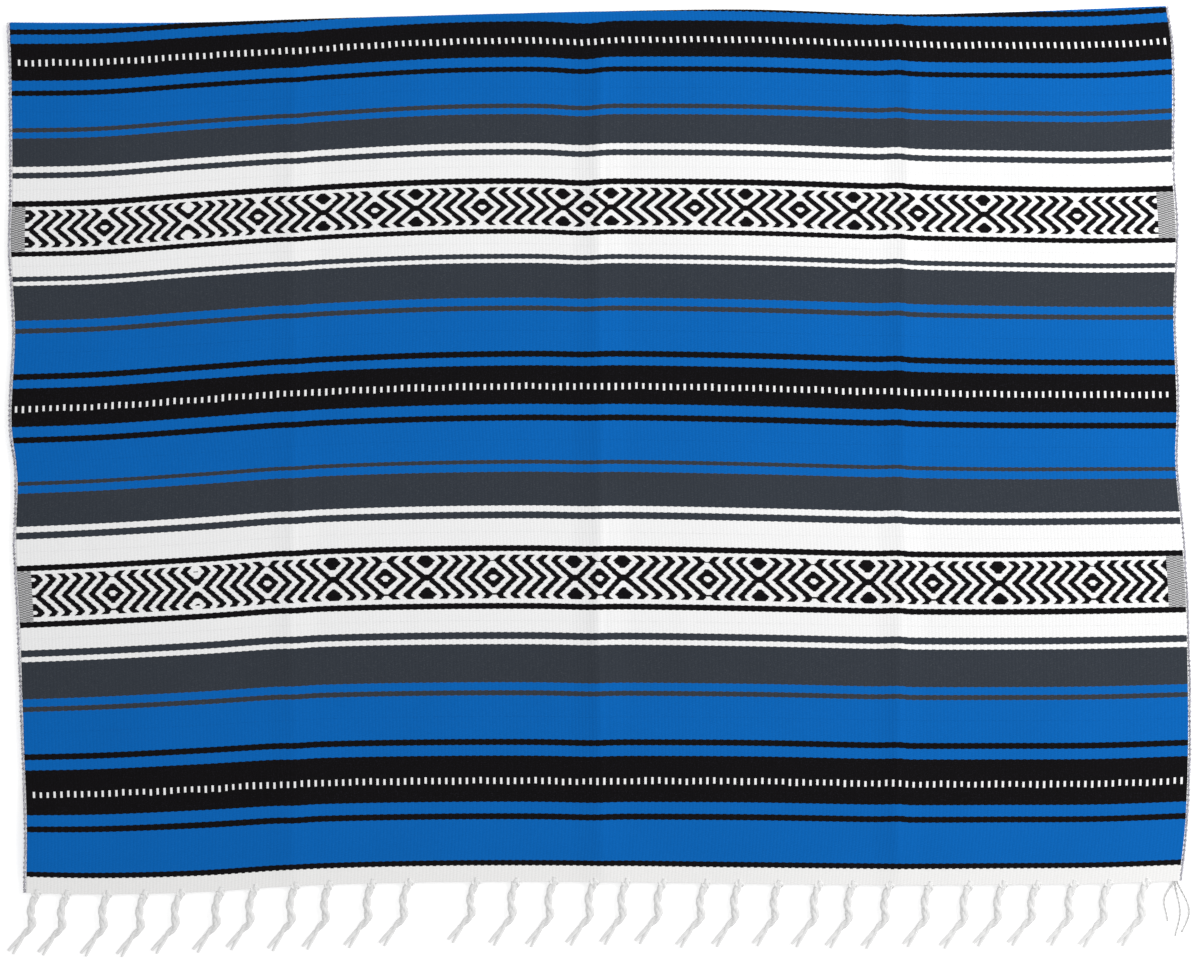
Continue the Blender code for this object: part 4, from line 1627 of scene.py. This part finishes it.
class Serape:
    """The folded serape, piece by piece."""

    def __init__(self) -> None:
        """Set up the cloth, its weave and its finishes."""
        form = ClothForm()
        self.cloth = FoldedCloth(form)
        upper_end = form.front_length - form.dash_depth
        self.order = WeaveOrder(upper_end, self.cloth.lower_end, form.heading)
        self.relief = weave_relief([finish.build() for finish in WEB_FINISHES])
        self.cord = cord_tree()
        self.cotton = CordFinish("fringe cotton", (0.86, 0.86, 0.855), (0.76, 0.76, 0.76)).build()
        self.pale_ply = CordFinish("pale selvedge ply", (0.82, 0.82, 0.84), (0.66, 0.66, 0.70)).build()
        self.lilac_ply = CordFinish("lilac selvedge ply", (0.66, 0.65, 0.72), (0.46, 0.45, 0.54)
                                    ).build()
        self.upper: list[bpy.types.Object] = []
        self.lower: list[bpy.types.Object] = []
        self.sizes: dict[str, tuple[float, float]] = {}

    def piece(self, name: str, size: WebPieceSize, slot: str, node: str) -> bpy.types.Object:
        """Cut one piece of the web and tie it to the frame.

        Args:
            name: Name of the piece.
            size: Reach and fineness of the piece.
            slot: Material slot of the piece; not used.
            node: Solid that the piece stands for.

        Returns:
            The piece.
        """
        made = WebPiece(name, size, self.cloth, self.order).build(self.relief)
        self.tie(made, slot, node)
        self.sizes[name] = (WEB_WIDTH / 1000.0, (size.high - size.low) * MM)
        LOG.info("%s: %d faces", name, len(made.data.polygons))
        return made

    @staticmethod
    def tie(made: bpy.types.Object, slot: str, node: str) -> None:
        """Tie a piece to the body and hide the solid that it stands for."""
        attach(made, "root")
        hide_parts(node)

    def build_web(self) -> None:
        """Cut the web: the lower half, the turn of the fold, the upper half and the headings."""
        order, end = self.order, self.order.upper_end
        start = self.cloth.lower_end
        cuts = (start, *LOWER_CUTS)
        for number, (low, high) in enumerate(zip(cuts[:-1], cuts[1:]), start=1):
            size = WebPieceSize(low, high, 1, 16.0, False, 40.0, 2)
            self.lower.append(self.piece(f"lower_web_{number}", size, "striped_web",
                                         "web_lower_half"))
        heading = WebPieceSize(order.edges[0], start, 1, 6.0, False, 6.0, 2)
        self.lower.append(self.piece("lower_heading", heading, "white_heading", "heading_lower"))
        turn = WebPieceSize(LOWER_CUTS[-1], UPPER_CUTS[0], 3, 1.2, True, 1.2, 6)
        self.upper.append(self.piece("fold_of_web", turn, "striped_web", "web_fold"))
        cuts = (*UPPER_CUTS, end)
        for number, (low, high) in enumerate(zip(cuts[:-1], cuts[1:]), start=1):
            size = WebPieceSize(low, high)
            self.upper.append(self.piece(f"upper_web_{number:02d}", size, "striped_web",
                                         "web_upper_half"))
        heading = WebPieceSize(end, order.edges[-1], 3, 2.5, True, 6.0, 6)
        self.upper.append(self.piece("upper_heading", heading, "white_heading", "heading_upper"))

    def hem_points(self, places: tuple[float, ...], upper: bool) -> list[np.ndarray]:
        """Places on a hem at given X, at mid height of the cloth."""
        found = []
        along = self.order.edges[-1] if upper else self.order.edges[0]
        fraction = np.linspace(0.0, 1.0, 201)
        line, _ = self.cloth.place(fraction, np.array([along]), np.zeros((1, 201)))
        for x in places:
            found.append(np.array([x, np.interp(x, line[0, :, 0], line[0, :, 1]),
                                   np.interp(x, line[0, :, 0], line[0, :, 2])]))
        return found

    def build_edges(self) -> list[bpy.types.Object]:
        """Lay the selvedges and tie the fringes.

        Returns:
            The pieces.
        """
        made = []
        for side, seed in (("left", 5), ("right", 9)):
            cord = Selvedge(side, seed=seed).build(self.cloth, self.order, self.cord,
                                                   (self.pale_ply, self.lilac_ply))
            self.tie(cord, "selvedge_cord", "selvedge_" + side)
            made.append(cord)
        roots = self.hem_points(TASSEL_X, True)
        loose = self.hem_points((628.0,), True)[0]
        front = Fringe("upper_fringe", 0.4, 1.0, 1.0, 31, 12, 2.1).build(
            roots, loose, self.cord, self.cotton)
        self.tie(front, "fringe_cotton", "fringe_upper")
        under = tuple(0.955 * x + 7.0 + 4.0 * math.sin(x) for x in (*TASSEL_X, -171.0, 618.0))
        back = Fringe("lower_fringe", 0.15, 0.62, 0.93, 47, 6, 5.0).build(
            self.hem_points(under, False), None, self.cord, self.cotton)
        self.tie(back, "fringe_cotton", "fringe_lower")
        made += [front, back]
        for cord in made:
            LOG.info("%s: %d faces", cord.name, len(cord.data.polygons))
        return made

    def declare(self, edges: list[bpy.types.Object], floor: bpy.types.Object) -> None:
        """Go over each piece of cloth and what it lies on or goes with, without stating anything.

        Args:
            edges: Selvedges and fringes, left, right, upper, lower.
            floor: The floor.
        """
        for piece in self.lower:
            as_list(floor.name)
        for piece in self.upper:
            goes_with = edges[2] if piece.name == "upper_heading" else None
            with_it = [goes_with] if goes_with else []
            if piece.name == "fold_of_web":
                with_it = edges[:2]
            [
                lower.name for lower in self.lower[:3]]
            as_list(with_it)


def main() -> None:
    """Build the studio and the serape."""
    logging.basicConfig(level=logging.INFO, format="%(message)s")
    floor = Studio().build()
    serape = Serape()
    serape.build_web()
    edges = serape.build_edges()
    serape.declare(edges, floor)
    count = 0
    for piece in [*serape.upper, *serape.lower, *edges]:
        piece.data.calc_loop_triangles()
        count += len(piece.data.loop_triangles)
        LOG.info("%s: %d triangles", piece.name, len(piece.data.loop_triangles))
    LOG.info("triangles in all: %d", count)


if __name__ == "__main__":
    main()
